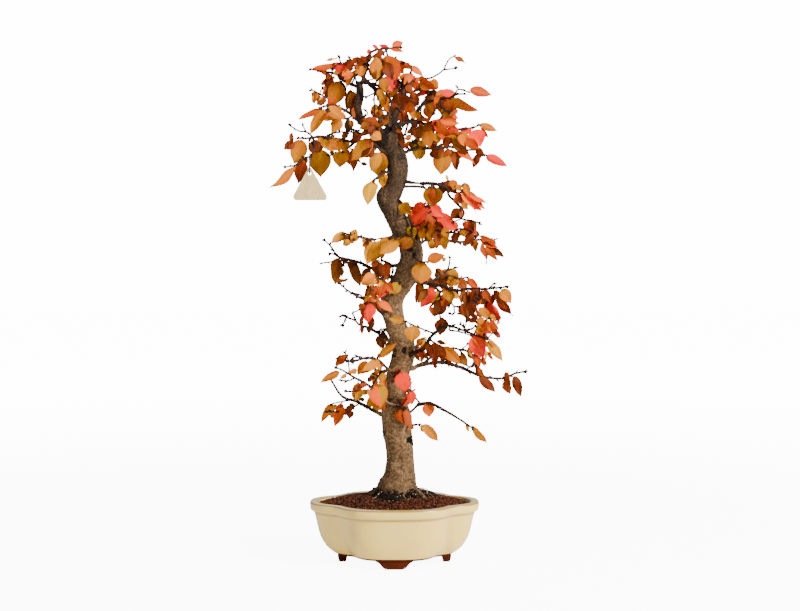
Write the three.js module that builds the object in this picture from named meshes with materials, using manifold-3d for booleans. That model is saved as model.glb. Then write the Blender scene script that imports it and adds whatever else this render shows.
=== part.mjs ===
// Korean hornbeam bonsai holding the last of its autumn leaves, in a four-lobed glazed pot.
// Millimetres, +Z up, the front of the tree towards -Y. The tree stands on the pot's four feet at z = 0.

import * as THREE from "three";
import { mergeVertices } from "three/addons/utils/BufferGeometryUtils.js";
import Module from "manifold-3d";

const wasm = await Module();
wasm.setup();

// Driving dimensions of the pot
const potLength = 216;
const potDepth = 158;
const potHeight = 77;
const potSides = 48;
const longLobe = { halfLength: 108, halfDepth: 50, power: 2.6 };
const deepLobe = { halfLength: 78, halfDepth: 79, power: 2.8 };
const lobeBlend = 26; // higher keeps the four notches between the lobes sharper
const rimWidth = 11;
const wallWidth = 6;
const floorTop = 20;
// Height, half length and half depth of the outside, from the underside to the lip's top edge
const potProfile = [
  [11, 74, 59],
  [14, 79, 62],
  [21, 87.5, 65],
  [33, 94.5, 69],
  [64, 102.5, 74],
  [67, 107, 78],
  [75, 108, 79],
];
const footHeight = 13;
const drainHole = { radius: 9, fromMiddle: 40 };
const screenWidth = 26;
const screenThickness = 1.2;

// Driving dimensions of the soil and of the humus round the roots
const soilEdge = 73.5;
const soilCrown = 86;
const grainHeight = 1.5;
const humusRadius = { left: 34, right: 50, depth: 33 };
const humusRise = 4.5;

// Driving dimensions of the tree
const trunkSides = 12;
const trunkStep = 15;
const limbStep = 20;
const twigStep = 17;
const finest = 0.2; // edges shorter than about this are left out
const buriedDepth = 22;
const bladeThickness = 1.1;
const stalkHalf = 0.9;
const stalkSunk = 0.6; // how far past the twig's middle a stalk runs
const sunkStalk = 5; // the most of a leaf, in cubic millimetres, that may lie inside its twig
const clearOfLimb = 4; // no leaf starts nearer than this to the limb
// A blade is at least this wide for its length, and turned where it looks narrower
const leastWidthShare = 0.44;
const gap = 0.35; // between pieces that touch on the real tree

// The tag and the loop of cord that holds it
const tagWidth = 40;
const tagHeight = 37.3;
const tagThickness = 3;
const tagHole = 2.2;
const cordRadius = 0.9;
const cordReach = 4.5;

// Places in the lists below are heights and widths as seen from the front, from this far and this high.
// A point that lies behind or before the trunk stands on the same line of sight.
const viewDistance = 1800;
const eyeHeight = 388;

function seen(x, z, y) {
  const spread = 1 + y / viewDistance;
  return new THREE.Vector3(x * spread, y, eyeHeight + (z - eyeHeight) * spread);
}

// Seeded draws, so that every build grows the same tree
function drawsFrom(seed) {
  let state = seed;
  return () => {
    state = (state + 0x6d2b79f5) | 0;
    let t = Math.imul(state ^ (state >>> 15), 1 | state);
    t = (t + Math.imul(t ^ (t >>> 7), 61 | t)) ^ t;
    return ((t ^ (t >>> 14)) >>> 0) / 4294967296;
  };
}

// Solids

function solidFrom(points, faces) {
  return new wasm.Manifold(
    new wasm.Mesh({
      numProp: 3,
      vertProperties: new Float32Array(points.flatMap((p) => [p.x, p.y, p.z])),
      triVerts: new Uint32Array(faces.flat()),
    }),
  );
}

function solidOf(geometry) {
  geometry.deleteAttribute("normal");
  geometry.deleteAttribute("uv");
  const merged = mergeVertices(geometry, 1e-3);
  return new wasm.Manifold(
    new wasm.Mesh({
      numProp: 3,
      vertProperties: merged.attributes.position.array,
      triVerts: new Uint32Array(merged.index.array),
    }),
  );
}

function joined(solids) {
  return solids.reduce((whole, solid) => whole.add(solid));
}

// The largest body of a solid that a cut has left in pieces
function largestBody(solid) {
  return solid.decompose().reduce((a, b) => (b.volume() > a.volume() ? b : a));
}

// A closed skin over rings of points that run counter-clockwise round the way the rings advance
function loft(rings) {
  const sides = rings[0].length;
  const points = rings.flat();
  const faces = [];
  for (let ring = 0; ring + 1 < rings.length; ring += 1) {
    for (let side = 0; side < sides; side += 1) {
      const a = ring * sides + side;
      const b = ring * sides + ((side + 1) % sides);
      faces.push([a, b, b + sides], [a, b + sides, a + sides]);
    }
  }
  const middleOf = (ring) =>
    ring.reduce((sum, p) => sum.add(p), new THREE.Vector3()).divideScalar(sides);
  const first = points.push(middleOf(rings[0])) - 1;
  const last = points.push(middleOf(rings.at(-1))) - 1;
  const lastRing = (rings.length - 1) * sides;
  for (let side = 0; side < sides; side += 1) {
    const next = (side + 1) % sides;
    faces.push([first, next, side], [last, lastRing + side, lastRing + next]);
  }
  return solidFrom(points, faces);
}

function valueAlong(values, share) {
  const place = share * (values.length - 1);
  const index = Math.min(Math.floor(place), values.length - 2);
  return THREE.MathUtils.lerp(values[index], values[index + 1], place - index);
}

// The middle line of a stem: a smooth line through the points, taken in even steps
function pathThrough(points, step) {
  const curve = new THREE.CatmullRomCurve3(points);
  const steps = Math.max(2, Math.round(curve.getLength() / step));
  return { curve, steps, middles: curve.getSpacedPoints(steps) };
}

// A tapering stem along a path. bulge(direction, middle) swells its skin.
function stem({ curve, steps, middles }, radii, sides, bulge = () => 1) {
  const { normals, binormals } = curve.computeFrenetFrames(steps);
  const rings = middles.map((middle, i) => {
    const radius = valueAlong(radii, curve.getUtoTmapping(i / steps));
    const ring = [];
    for (let side = 0; side < sides; side += 1) {
      const angle = (2 * Math.PI * side) / sides;
      const out = normals[i]
        .clone()
        .multiplyScalar(Math.cos(angle))
        .addScaledVector(binormals[i], Math.sin(angle));
      ring.push(middle.clone().addScaledVector(out, radius * bulge(out, middle)));
    }
    return ring;
  });
  return loft(rings);
}

// Pot

// The lobed outline at a half length and a half depth, moved in by an inset
function potOutline(halfLength, halfDepth, inset, z) {
  const ring = [];
  for (let side = 0; side < potSides; side += 1) {
    const angle = (2 * Math.PI * side) / potSides;
    const reach = (lobe) =>
      ((Math.abs(Math.cos(angle)) / lobe.halfLength) ** lobe.power +
        (Math.abs(Math.sin(angle)) / lobe.halfDepth) ** lobe.power) **
      (-1 / lobe.power);
    const radius = (reach(longLobe) ** lobeBlend + reach(deepLobe) ** lobeBlend) ** (1 / lobeBlend);
    ring.push(
      new THREE.Vector3(
        radius * Math.cos(angle) * ((2 * (halfLength - inset)) / potLength),
        radius * Math.sin(angle) * ((2 * (halfDepth - inset)) / potDepth),
        z,
      ),
    );
  }
  return ring;
}

function potBody() {
  const rings = potProfile.map(([z, halfLength, halfDepth]) => potOutline(halfLength, halfDepth, 0, z));
  const [, rimLength, rimDepth] = potProfile.at(-1);
  rings.push(potOutline(rimLength, rimDepth, 1.2, potHeight));
  rings.push(potOutline(rimLength, rimDepth, rimWidth, potHeight));
  rings.push(potOutline(rimLength, rimDepth, rimWidth, potHeight - 11));
  rings.push(potOutline(86.5, 64.5, wallWidth, floorTop));
  return loft(rings);
}

// A cloud-shaped foot, lowest in the middle, with its flat sole at z = 0
function foot(halfLength, thickness) {
  const shape = new THREE.Shape();
  shape.moveTo(-halfLength, footHeight);
  shape.lineTo(-halfLength, footHeight - 3);
  shape.quadraticCurveTo(-0.84 * halfLength, footHeight - 4, -0.72 * halfLength, footHeight - 8);
  shape.quadraticCurveTo(-0.6 * halfLength, 0.6, -0.4 * halfLength, 0);
  shape.lineTo(0.4 * halfLength, 0);
  shape.quadraticCurveTo(0.6 * halfLength, 0.6, 0.72 * halfLength, footHeight - 8);
  shape.quadraticCurveTo(0.84 * halfLength, footHeight - 4, halfLength, footHeight - 3);
  shape.lineTo(halfLength, footHeight);
  const geometry = new THREE.ExtrudeGeometry(shape, {
    depth: thickness,
    bevelEnabled: false,
    curveSegments: 3,
  });
  geometry.rotateX(Math.PI / 2);
  return geometry.translate(0, thickness / 2, 0);
}

const feet = [
  { x: 0, y: -51, halfLength: 23, thickness: 12, turn: 0 },
  { x: 0, y: 51, halfLength: 23, thickness: 12, turn: 0 },
  { x: -66, y: 0, halfLength: 19, thickness: 12, turn: Math.PI / 2 },
  { x: 66, y: 0, halfLength: 19, thickness: 12, turn: Math.PI / 2 },
];

function potSolid() {
  let pot = potBody();
  for (const { x, y, halfLength, thickness, turn } of feet) {
    pot = pot.add(solidOf(foot(halfLength, thickness).rotateZ(turn).translate(x, y, 0)));
  }
  for (const side of [-1, 1]) {
    const drill = new THREE.CylinderGeometry(drainHole.radius, drainHole.radius, floorTop, 10);
    drill.rotateX(Math.PI / 2).translate(side * drainHole.fromMiddle, 0, floorTop / 2 + 3);
    pot = pot.subtract(solidOf(drill));
  }
  return pot;
}

// A square of plastic mesh over a drain hole
function drainScreen(x) {
  const holes = 2;
  const pitch = (screenWidth - 3) / holes;
  const z = floorTop + gap + screenThickness / 2;
  let screen = solidOf(new THREE.BoxGeometry(screenWidth, screenWidth, screenThickness).translate(x, 0, z));
  for (let hole = 0; hole < holes * holes; hole += 1) {
    const opening = new THREE.BoxGeometry(pitch - 2, pitch - 2, 2 * screenThickness);
    const column = (hole % holes) - (holes - 1) / 2;
    const row = Math.floor(hole / holes) - (holes - 1) / 2;
    screen = screen.subtract(solidOf(opening.translate(x + column * pitch, row * pitch, z)));
  }
  return screen;
}

// Soil

function mound(x, y) {
  const share = Math.min(1, Math.hypot(x / 97, y / 68));
  return soilEdge + (soilCrown - soilEdge) * (1 - share ** 1.7);
}

function soilSolid() {
  const draw = drawsFrom(5);
  const [, rimLength, rimDepth] = potProfile.at(-1);
  const inset = rimWidth + gap + 0.4;
  const ringAt = (share, z) =>
    potOutline(rimLength, rimDepth, inset, z).map((p) => p.multiply(new THREE.Vector3(share, share, 1)));
  const rings = [
    potOutline(86.5, 64.5, wallWidth + gap + 0.3, floorTop + gap),
    ringAt(1, potHeight - 11.5),
    ringAt(1, soilEdge - 1.5),
  ];
  for (const share of [0.94, 0.8, 0.66, 0.52]) {
    const ring = ringAt(share, 0);
    for (const p of ring) {
      p.x += (draw() - 0.5) * 3;
      p.y += (draw() - 0.5) * 3;
      p.z = mound(p.x, p.y) + (draw() - 0.5) * 2 * grainHeight;
    }
    rings.push(ring);
  }
  return loft(rings);
}

// The black humus lies in the soil's crown, wider to the right of the trunk
function humusSolid(grow) {
  const draw = drawsFrom(11);
  const sides = 18;
  const ringAt = (share, rise, rough) => {
    const ring = [];
    for (let side = 0; side < sides; side += 1) {
      const angle = (2 * Math.PI * side) / sides;
      const reach = Math.cos(angle) < 0 ? humusRadius.left : humusRadius.right;
      const lobes = 1 + 0.13 * Math.sin(3 * angle + 0.6) + 0.08 * Math.sin(7 * angle);
      const x = (reach * lobes * share + grow) * Math.cos(angle);
      const y = (humusRadius.depth * lobes * share + grow) * Math.sin(angle);
      ring.push(new THREE.Vector3(x, y, mound(x, y) + rise + (draw() - 0.5) * rough));
    }
    return ring;
  };
  return loft([
    ringAt(0.94, -3.5 - grow, 0),
    ringAt(1, 0.8 + grow, 0),
    ringAt(0.9, humusRise - 1 + grow, 1.6),
    ringAt(0.66, humusRise + grow, 2),
  ]);
}

// Trunk: height, place and radius up its middle line, with its depth last
const trunkLine = [
  { x: 3, z: 66, r: 23, y: 0 },
  { x: 2, z: 84, r: 26, y: 0 },
  { x: 3, z: 93, r: 25.5, y: 0 },
  { x: 6, z: 103, r: 22.4, y: 0 },
  { x: 7, z: 116, r: 19.2, y: 0 },
  { x: 7, z: 129, r: 17.5, y: -1 },
  { x: 6, z: 141, r: 17.4, y: -3 },
  { x: 4.6, z: 154, r: 17.4, y: -4 },
  { x: 3.6, z: 167, r: 18.2, y: -4 },
  { x: 2.6, z: 180, r: 19.1, y: -4 },
  { x: 0.8, z: 192, r: 18.1, y: -3 },
  { x: 0, z: 205, r: 15.1, y: -2 },
  { x: 0, z: 218, r: 14, y: 0 },
  { x: 3, z: 231, r: 14.6, y: 2 },
  { x: 6, z: 244, r: 14.2, y: 4 },
  { x: 10, z: 256, r: 15.2, y: 6 },
  { x: 12, z: 269, r: 15, y: 8 },
  { x: 10, z: 282, r: 14.6, y: 9 },
  { x: 4, z: 295, r: 13.6, y: 9 },
  { x: 0, z: 307, r: 13.8, y: 8 },
  { x: -2.6, z: 320, r: 14.4, y: 6 },
  { x: -3, z: 333, r: 14.8, y: 4 },
  { x: 3.2, z: 346, r: 14.4, y: 2 },
  { x: 12, z: 359, r: 15, y: 0 },
  { x: 17, z: 371, r: 16, y: -2 },
  { x: 21, z: 384, r: 15.2, y: -5 },
  { x: 21, z: 397, r: 15, y: -8 },
  { x: 18, z: 410, r: 14.8, y: -11 },
  { x: 10.4, z: 423, r: 15, y: -12 },
  { x: 3.6, z: 435, r: 13.2, y: -12 },
  { x: -3, z: 448, r: 13, y: -10 },
  { x: -7, z: 461, r: 14, y: -8 },
  { x: -2.4, z: 474, r: 13.6, y: -6 },
  { x: 2.4, z: 487, r: 13.4, y: -3 },
  { x: 4, z: 499, r: 13.8, y: -1 },
  { x: 3, z: 512, r: 14, y: 0 },
  { x: -2, z: 525, r: 14.8, y: 0 },
  { x: -6, z: 538, r: 18, y: 0 },
  { x: -8, z: 547, r: 14.5, y: 0 },
];

// Knots and burrs: place, which way they face as x and y, how far they reach along the skin and how much
// they swell
const knots = [
  { x: 19, z: 152, toX: 1, toY: -0.8, reach: 9, swell: 0.16 },
  { x: -8, z: 163, toX: -1, toY: -0.7, reach: 8, swell: 0.14 },
  { x: 16, z: 186, toX: 0.8, toY: 0.6, reach: 12, swell: 0.14 },
  { x: 12, z: 269, toX: 0.4, toY: -1, reach: 7, swell: -0.14 },
  { x: 26, z: 395, toX: 0.6, toY: -1, reach: 9, swell: 0.2 },
  { x: -20, z: 465, toX: -1, toY: -0.2, reach: 8, swell: 0.22 },
  { x: 10, z: 516, toX: 0.8, toY: -0.6, reach: 7, swell: -0.15 },
  { x: -18, z: 546, toX: -0.7, toY: -0.7, reach: 10, swell: 0.2 },
];

function knotSwell(out, middle) {
  let swell = 1;
  for (const knot of knots) {
    const facing = (out.x * knot.toX + out.y * knot.toY) / Math.hypot(knot.toX, knot.toY);
    const along = (middle.z - knot.z) / knot.reach;
    swell += knot.swell * Math.exp(-along * along) * Math.max(0, facing) ** 3;
  }
  return swell;
}

// Surface roots: which way they run on the soil in degrees, how far from the trunk's middle, and their radius
const roots = [
  { turn: 188, reach: 40, radius: 8.5 },
  { turn: 232, reach: 38, radius: 7.5 },
  { turn: 282, reach: 37, radius: 8 },
  { turn: 335, reach: 46, radius: 8.5 },
  { turn: 22, reach: 43, radius: 8 },
  { turn: 78, reach: 38, radius: 7.5 },
  { turn: 132, reach: 41, radius: 8.5 },
];

// Thick starts of the limbs: radius and depth at both ends, and the line they take
const limbs = [
  { name: "crown_left", r: [9.5, 5.2], y: [0, -8], line: [[-9, 540], [-19, 546], [-31, 555], [-46, 563]] },
  {
    name: "crown_stub",
    r: [6, 5.2],
    y: [-5, 3],
    line: [[-36, 556], [-44, 566], [-47, 578], [-44, 595], [-45, 613]],
  },
  {
    name: "crown_middle",
    r: [5.5, 2.6],
    y: [0, 14],
    line: [[-7, 545], [-8, 556], [-1, 570], [7, 582], [10, 594]],
  },
  { name: "crown_right", r: [5, 2.6], y: [0, -10], line: [[-7, 543], [4, 556], [20, 561], [30, 560]] },
  { name: "left_arm", r: [3.8, 2.2], y: [-2, -10], line: [[-8, 535], [-21, 536], [-42, 536], [-57, 535]] },
  { name: "right_high", r: [3, 2], y: [4, 20], line: [[5, 519], [12, 521], [21, 525], [33, 527]] },
  { name: "right_mid", r: [3.2, 2.1], y: [-6, -22], line: [[4, 487], [16, 484], [33, 482]] },
  { name: "right_long", r: [3.6, 2.1], y: [-6, 18], line: [[20, 396], [29, 403], [39, 409], [51, 410]] },
  { name: "right_fork", r: [4, 2.6], y: [-2, -14], line: [[18, 357], [26, 357], [45, 353]] },
  { name: "right_low", r: [4, 2.5], y: [8, 18], line: [[11, 245], [24, 246], [30, 249], [45, 252]] },
  { name: "right_base", r: [3.2, 2.1], y: [-6, -16], line: [[8, 188], [20, 190], [30, 199]] },
  { name: "left_base", r: [3.8, 2.2], y: [0, 16], line: [[-4, 186], [-17, 187], [-35, 196]] },
  { name: "left_low", r: [2.8, 2], y: [-6, -16], line: [[3, 234], [-3, 241], [-10, 246], [-16, 252]] },
  { name: "left_mid_low", r: [2.8, 1.9], y: [8, 16], line: [[6, 278], [-6, 280], [-17, 286], [-21, 291]] },
  { name: "left_mid", r: [2.8, 1.9], y: [0, -16], line: [[-2, 306], [-9, 310], [-20, 319], [-24, 327]] },
  { name: "left_high", r: [3, 2], y: [2, 20], line: [[16, 377], [4, 378], [-11, 375], [-31, 374]] },
  { name: "left_top", r: [3, 1.9], y: [-12, -22], line: [[12, 416], [-4, 414], [-26, 410]] },
];

// Colours of the blades, in autumn
const hues = {
  coral: 0xfc5f5c,
  rose: 0xe15f69,
  salmon: 0xf38062,
  orange: 0xf09146,
  bright_orange: 0xfa963c,
  orange_red: 0xeb6937,
  ochre: 0xda9126,
  yellow_orange: 0xf5aa41,
  pale_yellow: 0xebc35f,
  tan: 0xe6aa6e,
  peach: 0xeeb07a,
  brown: 0x8a4618,
  red_brown: 0x8c3219,
  rust: 0xa54623,
  dark_brown: 0x5a200c,
};

// Leafy sprays. Wood: radius and depth at both ends, and the line; the first line grows from the tree and the
// others from the lines before. Leaves: where the blade starts and where its tip is, how wide it looks, its
// colour.
const sprays = [
  {
    name: "spray_tip",
    wood: [
      {
        r: [1.7, 0.9],
        y: [4, 18],
        line: [[-43, 609], [-38, 622], [-34, 632], [-35, 640], [-31, 649], [-22, 653], [-6, 655], [8, 656]],
      },
      { r: [1, 0.8], y: [16, 8], line: [[-8, 655], [-15, 648], [-21, 640]] },
      { r: [1, 0.8], y: [16, 26], line: [[-11, 655], [-8, 645], [1, 642], [8, 637]] },
    ],
    leaves: [
      [-34, 630, -50, 625, 10, "orange"], [-34, 640, -44, 632, 8, "red_brown"],
      [-29, 649, -35, 655, 3, "rose"], [-21, 654, -29, 660, 5, "rose"], [-7, 655, -20, 659, 6, "rose"],
      [-3, 657, 11, 663, 10, "salmon"], [-6, 655, 13, 649, 6, "salmon"], [-18, 646, -27, 640, 8, "rose"],
      [-15, 642, -20, 612, 8, "brown"], [-12, 637, -3, 614, 15, "red_brown"],
      [1, 641, -6, 614, 18, "orange_red"], [7, 636, 21, 630, 8, "rust"],
    ],
  },
  {
    name: "spray_tip_front",
    wood: [
      {
        r: [1.6, 0.8],
        y: [-2, -40],
        line: [[-43, 611], [-26, 609], [-16, 604], [-8, 594], [-4, 585], [-7, 570]],
      },
      { r: [1, 0.8], y: [-14, -30], line: [[-26, 609], [-20, 616], [-15, 620]] },
      { r: [1, 0.8], y: [-22, -34], line: [[-13, 601], [-24, 598], [-26, 589], [-25, 582]] },
    ],
    leaves: [
      [-15, 618, -1, 599, 13, "rose"], [-15, 609, -4, 599, 12, "ochre"], [-17, 598, -7, 572, 12, "ochre"],
      [-25, 580, -24, 563, 12, "rust"],
    ],
  },
  {
    name: "spray_crown_left",
    wood: [
      {
        r: [1.8, 0.9],
        y: [4, 52],
        line: [[-45, 604], [-57, 610], [-66, 614], [-73, 621], [-82, 624], [-95, 626], [-107, 628]],
      },
      { r: [1, 0.8], y: [26, 34], line: [[-67, 615], [-68, 632], [-71, 645]] },
      { r: [1, 0.8], y: [14, 2], line: [[-55, 609], [-49, 622], [-51, 632], [-58, 644]] },
    ],
    leaves: [
      [-85, 623, -104, 629, 6, "salmon"], [-68, 635, -79, 628, 9, "rose"], [-72, 643, -89, 638, 4, "tan"],
      [-71, 636, -87, 631, 5, "rust"], [-76, 619, -94, 609, 5, "salmon"], [-53, 625, -62, 604, 8, "orange"],
      [-80, 620, -88, 591, 10, "rust"], [-68, 613, -81, 580, 22, "ochre"], [-56, 602, -61, 575, 10, "rust"],
    ],
  },
  {
    name: "spray_crown_low",
    wood: [
      {
        r: [2, 0.9],
        y: [-9, -56],
        line: [[-46, 562], [-57, 572], [-66, 577], [-74, 581], [-89, 581], [-97, 578]],
      },
      { r: [1, 0.7], y: [-32, -40], line: [[-74, 581], [-82, 589], [-90, 593], [-98, 598], [-107, 602]] },
      { r: [1, 0.8], y: [-16, -30], line: [[-54, 569], [-61, 565], [-66, 565]] },
    ],
    leaves: [
      [-95, 596, -103, 585, 4, "tan"], [-96, 577, -122, 562, 9, "orange_red"],
      [-90, 577, -109, 545, 14, "yellow_orange"], [-86, 579, -63, 564, 14, "orange"],
      [-68, 564, -81, 547, 13, "ochre"], [-58, 564, -62, 545, 9, "brown"],
    ],
  },
  {
    name: "spray_left_arm",
    wood: [
      {
        r: [2, 0.9],
        y: [-10, -34],
        line: [[-57, 535], [-70, 538], [-82, 540], [-95, 542], [-110, 540], [-123, 540]],
      },
      { r: [1.1, 0.8], y: [-28, -44], line: [[-104, 541], [-113, 548], [-122, 549], [-135, 557]] },
      { r: [0.9, 0.7], y: [-34, -26], line: [[-113, 548], [-118, 558]] },
      {
        r: [1.2, 0.8],
        y: [-28, -42],
        line: [[-104, 541], [-103, 526], [-108, 517], [-117, 514], [-126, 506], [-139, 503]],
      },
    ],
    leaves: [
      [-131, 547, -134, 535, 5, "rust"], [-128, 535, -142, 526, 12, "red_brown"],
      [-118, 538, -128, 507, 20, "orange"], [-117, 512, -123, 481, 15, "rust"],
      [-126, 503, -158, 472, 9, "orange"], [-107, 536, -95, 522, 13, "dark_brown"],
      [-92, 539, -86, 526, 9, "ochre"], [-84, 538, -72, 525, 12, "bright_orange"],
      [-69, 535, -62, 522, 9, "ochre"],
    ],
  },
  {
    name: "spray_left_hanging",
    wood: [
      { r: [1.5, 0.8], y: [-8, 34], line: [[-51, 535], [-59, 528], [-66, 523], [-77, 520], [-84, 517]] },
      { r: [0.9, 0.7], y: [22, 36], line: [[-77, 521], [-91, 531]] },
    ],
    leaves: [
      [-68, 524, -70, 502, 19, "ochre"], [-54, 527, -50, 494, 12, "rust"],
      [-95, 526, -95, 490, 27, "ochre"],
    ],
  },
  {
    name: "spray_left_shoulder",
    wood: [
      { r: [1.7, 0.9], y: [-4, -44], line: [[-6, 515], [-13, 522], [-24, 530], [-30, 538], [-30, 545]] },
    ],
    leaves: [
      [-29, 547, -17, 538, 13, "bright_orange"], [-29, 538, -56, 511, 19, "bright_orange"],
      [-26, 527, -43, 515, 14, "red_brown"], [-19, 522, -22, 488, 22, "ochre"],
    ],
  },
  {
    name: "spray_left_upper",
    wood: [{ r: [1.5, 0.9], y: [-6, -38], line: [[-3, 494], [-13, 497], [-21, 491], [-26, 486]] }],
    leaves: [[-30, 484, -35, 455, 17, "pale_yellow"], [-13, 494, -16, 476, 8, "peach"]],
  },
  {
    name: "spray_crown_middle",
    wood: [
      { r: [1.8, 0.8], y: [14, 36], line: [[10, 594], [13, 604], [20, 612], [21, 622], [21, 631]] },
      {
        r: [1.2, 0.8],
        y: [22, 54],
        line: [[18, 609], [30, 617], [40, 616], [49, 618], [62, 627], [70, 641], [77, 645]],
      },
      { r: [0.9, 0.7], y: [44, 40], line: [[62, 627], [79, 630]] },
      { r: [1.1, 0.8], y: [18, 44], line: [[12, 599], [17, 599], [34, 602], [45, 600]] },
      { r: [1, 0.8], y: [20, 34], line: [[13, 604], [7, 612], [3, 614]] },
    ],
    leaves: [
      [20, 632, 39, 619, 9, "salmon"], [6, 616, 25, 622, 9, "salmon"], [9, 611, 18, 600, 10, "rust"],
      [30, 617, 56, 603, 10, "salmon"], [22, 611, 47, 598, 10, "salmon"], [44, 601, 29, 594, 6, "rose"],
      [45, 600, 56, 586, 9, "coral"], [9, 596, 10, 573, 23, "dark_brown"],
      [47, 598, 45, 563, 17, "red_brown"], [22, 599, 33, 580, 10, "brown"],
    ],
  },
  {
    name: "spray_right_fork_high",
    wood: [
      {
        r: [1.8, 0.9],
        y: [-7, -52],
        line: [
          [22, 561], [25, 567], [31, 577], [39, 585], [50, 588], [59, 591], [70, 591], [77, 595], [90, 597],
        ],
      },
      { r: [0.9, 0.7], y: [-46, -56], line: [[77, 595], [81, 602], [95, 599]] },
      { r: [1, 0.8], y: [-36, -50], line: [[59, 591], [61, 580], [71, 573]] },
    ],
    leaves: [
      [26, 577, 25, 564, 14, "orange"], [43, 583, 45, 563, 9, "ochre"], [26, 568, 46, 562, 6, "salmon"],
      [59, 596, 80, 598, 12, "coral"], [96, 602, 126, 596, 12, "orange_red"], [82, 603, 77, 609, 3, "rose"],
      [70, 589, 107, 573, 12, "orange_red"], [59, 587, 81, 573, 13, "rust"], [72, 572, 82, 564, 5, "coral"],
      [62, 578, 69, 564, 10, "ochre"],
    ],
  },
  {
    name: "spray_right_fork_low",
    wood: [
      {
        r: [1.9, 0.9],
        y: [-10, 30],
        line: [[30, 560], [39, 558], [58, 548], [71, 549], [86, 552], [98, 553], [109, 557]],
      },
      { r: [1, 0.8], y: [4, -16], line: [[58, 548], [67, 540], [79, 543], [85, 544]] },
    ],
    leaves: [
      [49, 560, 84, 558, 10, "salmon"], [52, 553, 75, 537, 12, "salmon"], [32, 557, 32, 536, 10, "brown"],
      [39, 554, 45, 527, 16, "ochre"], [42, 556, 50, 546, 12, "red_brown"],
      [109, 558, 132, 548, 10, "orange"], [100, 550, 111, 529, 23, "coral"],
      [110, 553, 122, 540, 4, "coral"], [86, 547, 94, 534, 10, "bright_orange"],
    ],
  },
  {
    name: "spray_right_high",
    wood: [
      {
        r: [1.8, 0.9],
        y: [20, 62],
        line: [[33, 527], [58, 527], [71, 529], [86, 525], [99, 525], [108, 525], [116, 518]],
      },
    ],
    leaves: [
      [35, 530, 31, 511, 13, "yellow_orange"], [48, 525, 54, 513, 13, "dark_brown"],
      [62, 522, 59, 492, 23, "ochre"], [77, 524, 79, 498, 12, "rust"], [76, 530, 95, 521, 9, "brown"],
      [79, 525, 107, 507, 9, "salmon"], [108, 521, 100, 502, 8, "red_brown"],
      [117, 518, 144, 503, 12, "rose"], [108, 528, 114, 516, 6, "rust"],
    ],
  },
  {
    name: "spray_right_mid",
    wood: [
      {
        r: [1.8, 0.8],
        y: [-22, -84],
        line: [
          [33, 482], [54, 481], [68, 474], [69, 468], [76, 460], [84, 452], [89, 444], [86, 437], [97, 435],
          [109, 431],
        ],
      },
      { r: [1, 0.8], y: [-31, -28], line: [[54, 481], [68, 485]] },
      { r: [1, 0.8], y: [-42, -52], line: [[68, 472], [87, 470]] },
      { r: [0.9, 0.7], y: [-70, -64], line: [[86, 437], [75, 433]] },
    ],
    leaves: [
      [65, 478, 75, 471, 8, "dark_brown"], [69, 485, 81, 474, 12, "orange"],
      [68, 486, 66, 494, 4, "pale_yellow"], [88, 472, 118, 452, 10, "orange_red"],
      [86, 469, 108, 448, 9, "orange_red"], [82, 467, 103, 450, 9, "orange_red"],
      [50, 478, 48, 451, 24, "ochre"], [45, 479, 49, 453, 12, "rust"], [86, 448, 71, 437, 14, "dark_brown"],
      [97, 434, 104, 421, 10, "red_brown"], [89, 434, 103, 415, 9, "rose"],
    ],
  },
  {
    name: "spray_right_hanging",
    wood: [
      {
        r: [1.5, 0.8],
        y: [-4, 14],
        line: [[4, 478], [27, 478], [39, 476], [43, 466], [43, 456], [49, 448], [56, 444]],
      },
    ],
    leaves: [
      [39, 455, 25, 426, 22, "coral"], [44, 454, 63, 439, 15, "coral"], [53, 443, 82, 421, 17, "coral"],
    ],
  },
  {
    name: "spray_right_small",
    wood: [{ r: [1.4, 0.8], y: [-12, -34], line: [[-4, 466], [8, 459], [17, 443], [22, 429], [22, 416]] }],
    leaves: [
      [8, 457, 22, 442, 15, "ochre"], [21, 428, 24, 411, 12, "yellow_orange"],
      [21, 413, 8, 397, 14, "brown"],
    ],
  },
  {
    name: "spray_right_long",
    wood: [
      {
        r: [1.8, 0.9],
        y: [18, 62],
        line: [[51, 410], [61, 410], [84, 407], [105, 410], [122, 409], [130, 411]],
      },
      { r: [0.9, 0.8], y: [48, 46], line: [[104, 410], [105, 419]] },
    ],
    leaves: [
      [52, 408, 45, 398, 10, "ochre"], [56, 409, 53, 398, 6, "ochre"], [102, 408, 104, 395, 9, "red_brown"],
      [110, 411, 132, 400, 10, "salmon"], [112, 408, 119, 378, 8, "red_brown"],
      [117, 407, 131, 383, 8, "red_brown"], [118, 406, 140, 387, 10, "red_brown"],
    ],
  },
  {
    name: "spray_right_knot",
    wood: [
      {
        r: [1.9, 0.9],
        y: [-10, -50],
        line: [[21, 398], [28, 411], [33, 419], [40, 426], [44, 433], [43, 444]],
      },
      {
        r: [1.1, 0.8],
        y: [-36, -66],
        line: [[40, 426], [49, 423], [58, 421], [73, 419], [82, 424], [99, 421]],
      },
    ],
    leaves: [
      [37, 428, 35, 408, 10, "ochre"], [47, 437, 48, 412, 9, "brown"], [43, 421, 47, 408, 8, "peach"],
      [58, 427, 58, 406, 14, "rust"], [65, 416, 63, 397, 10, "ochre"], [77, 418, 77, 404, 10, "dark_brown"],
      [83, 424, 96, 413, 8, "ochre"], [99, 419, 90, 401, 10, "red_brown"],
    ],
  },
  {
    name: "spray_front_knot",
    wood: [{ r: [1.5, 0.8], y: [-12, -42], line: [[15, 398], [25, 388], [33, 382], [42, 382]] }],
    leaves: [[36, 379, 33, 354, 24, "orange"], [42, 384, 65, 391, 13, "orange"]],
  },
  {
    name: "spray_right_fork",
    wood: [
      {
        r: [2, 0.9],
        y: [-14, -70],
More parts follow.
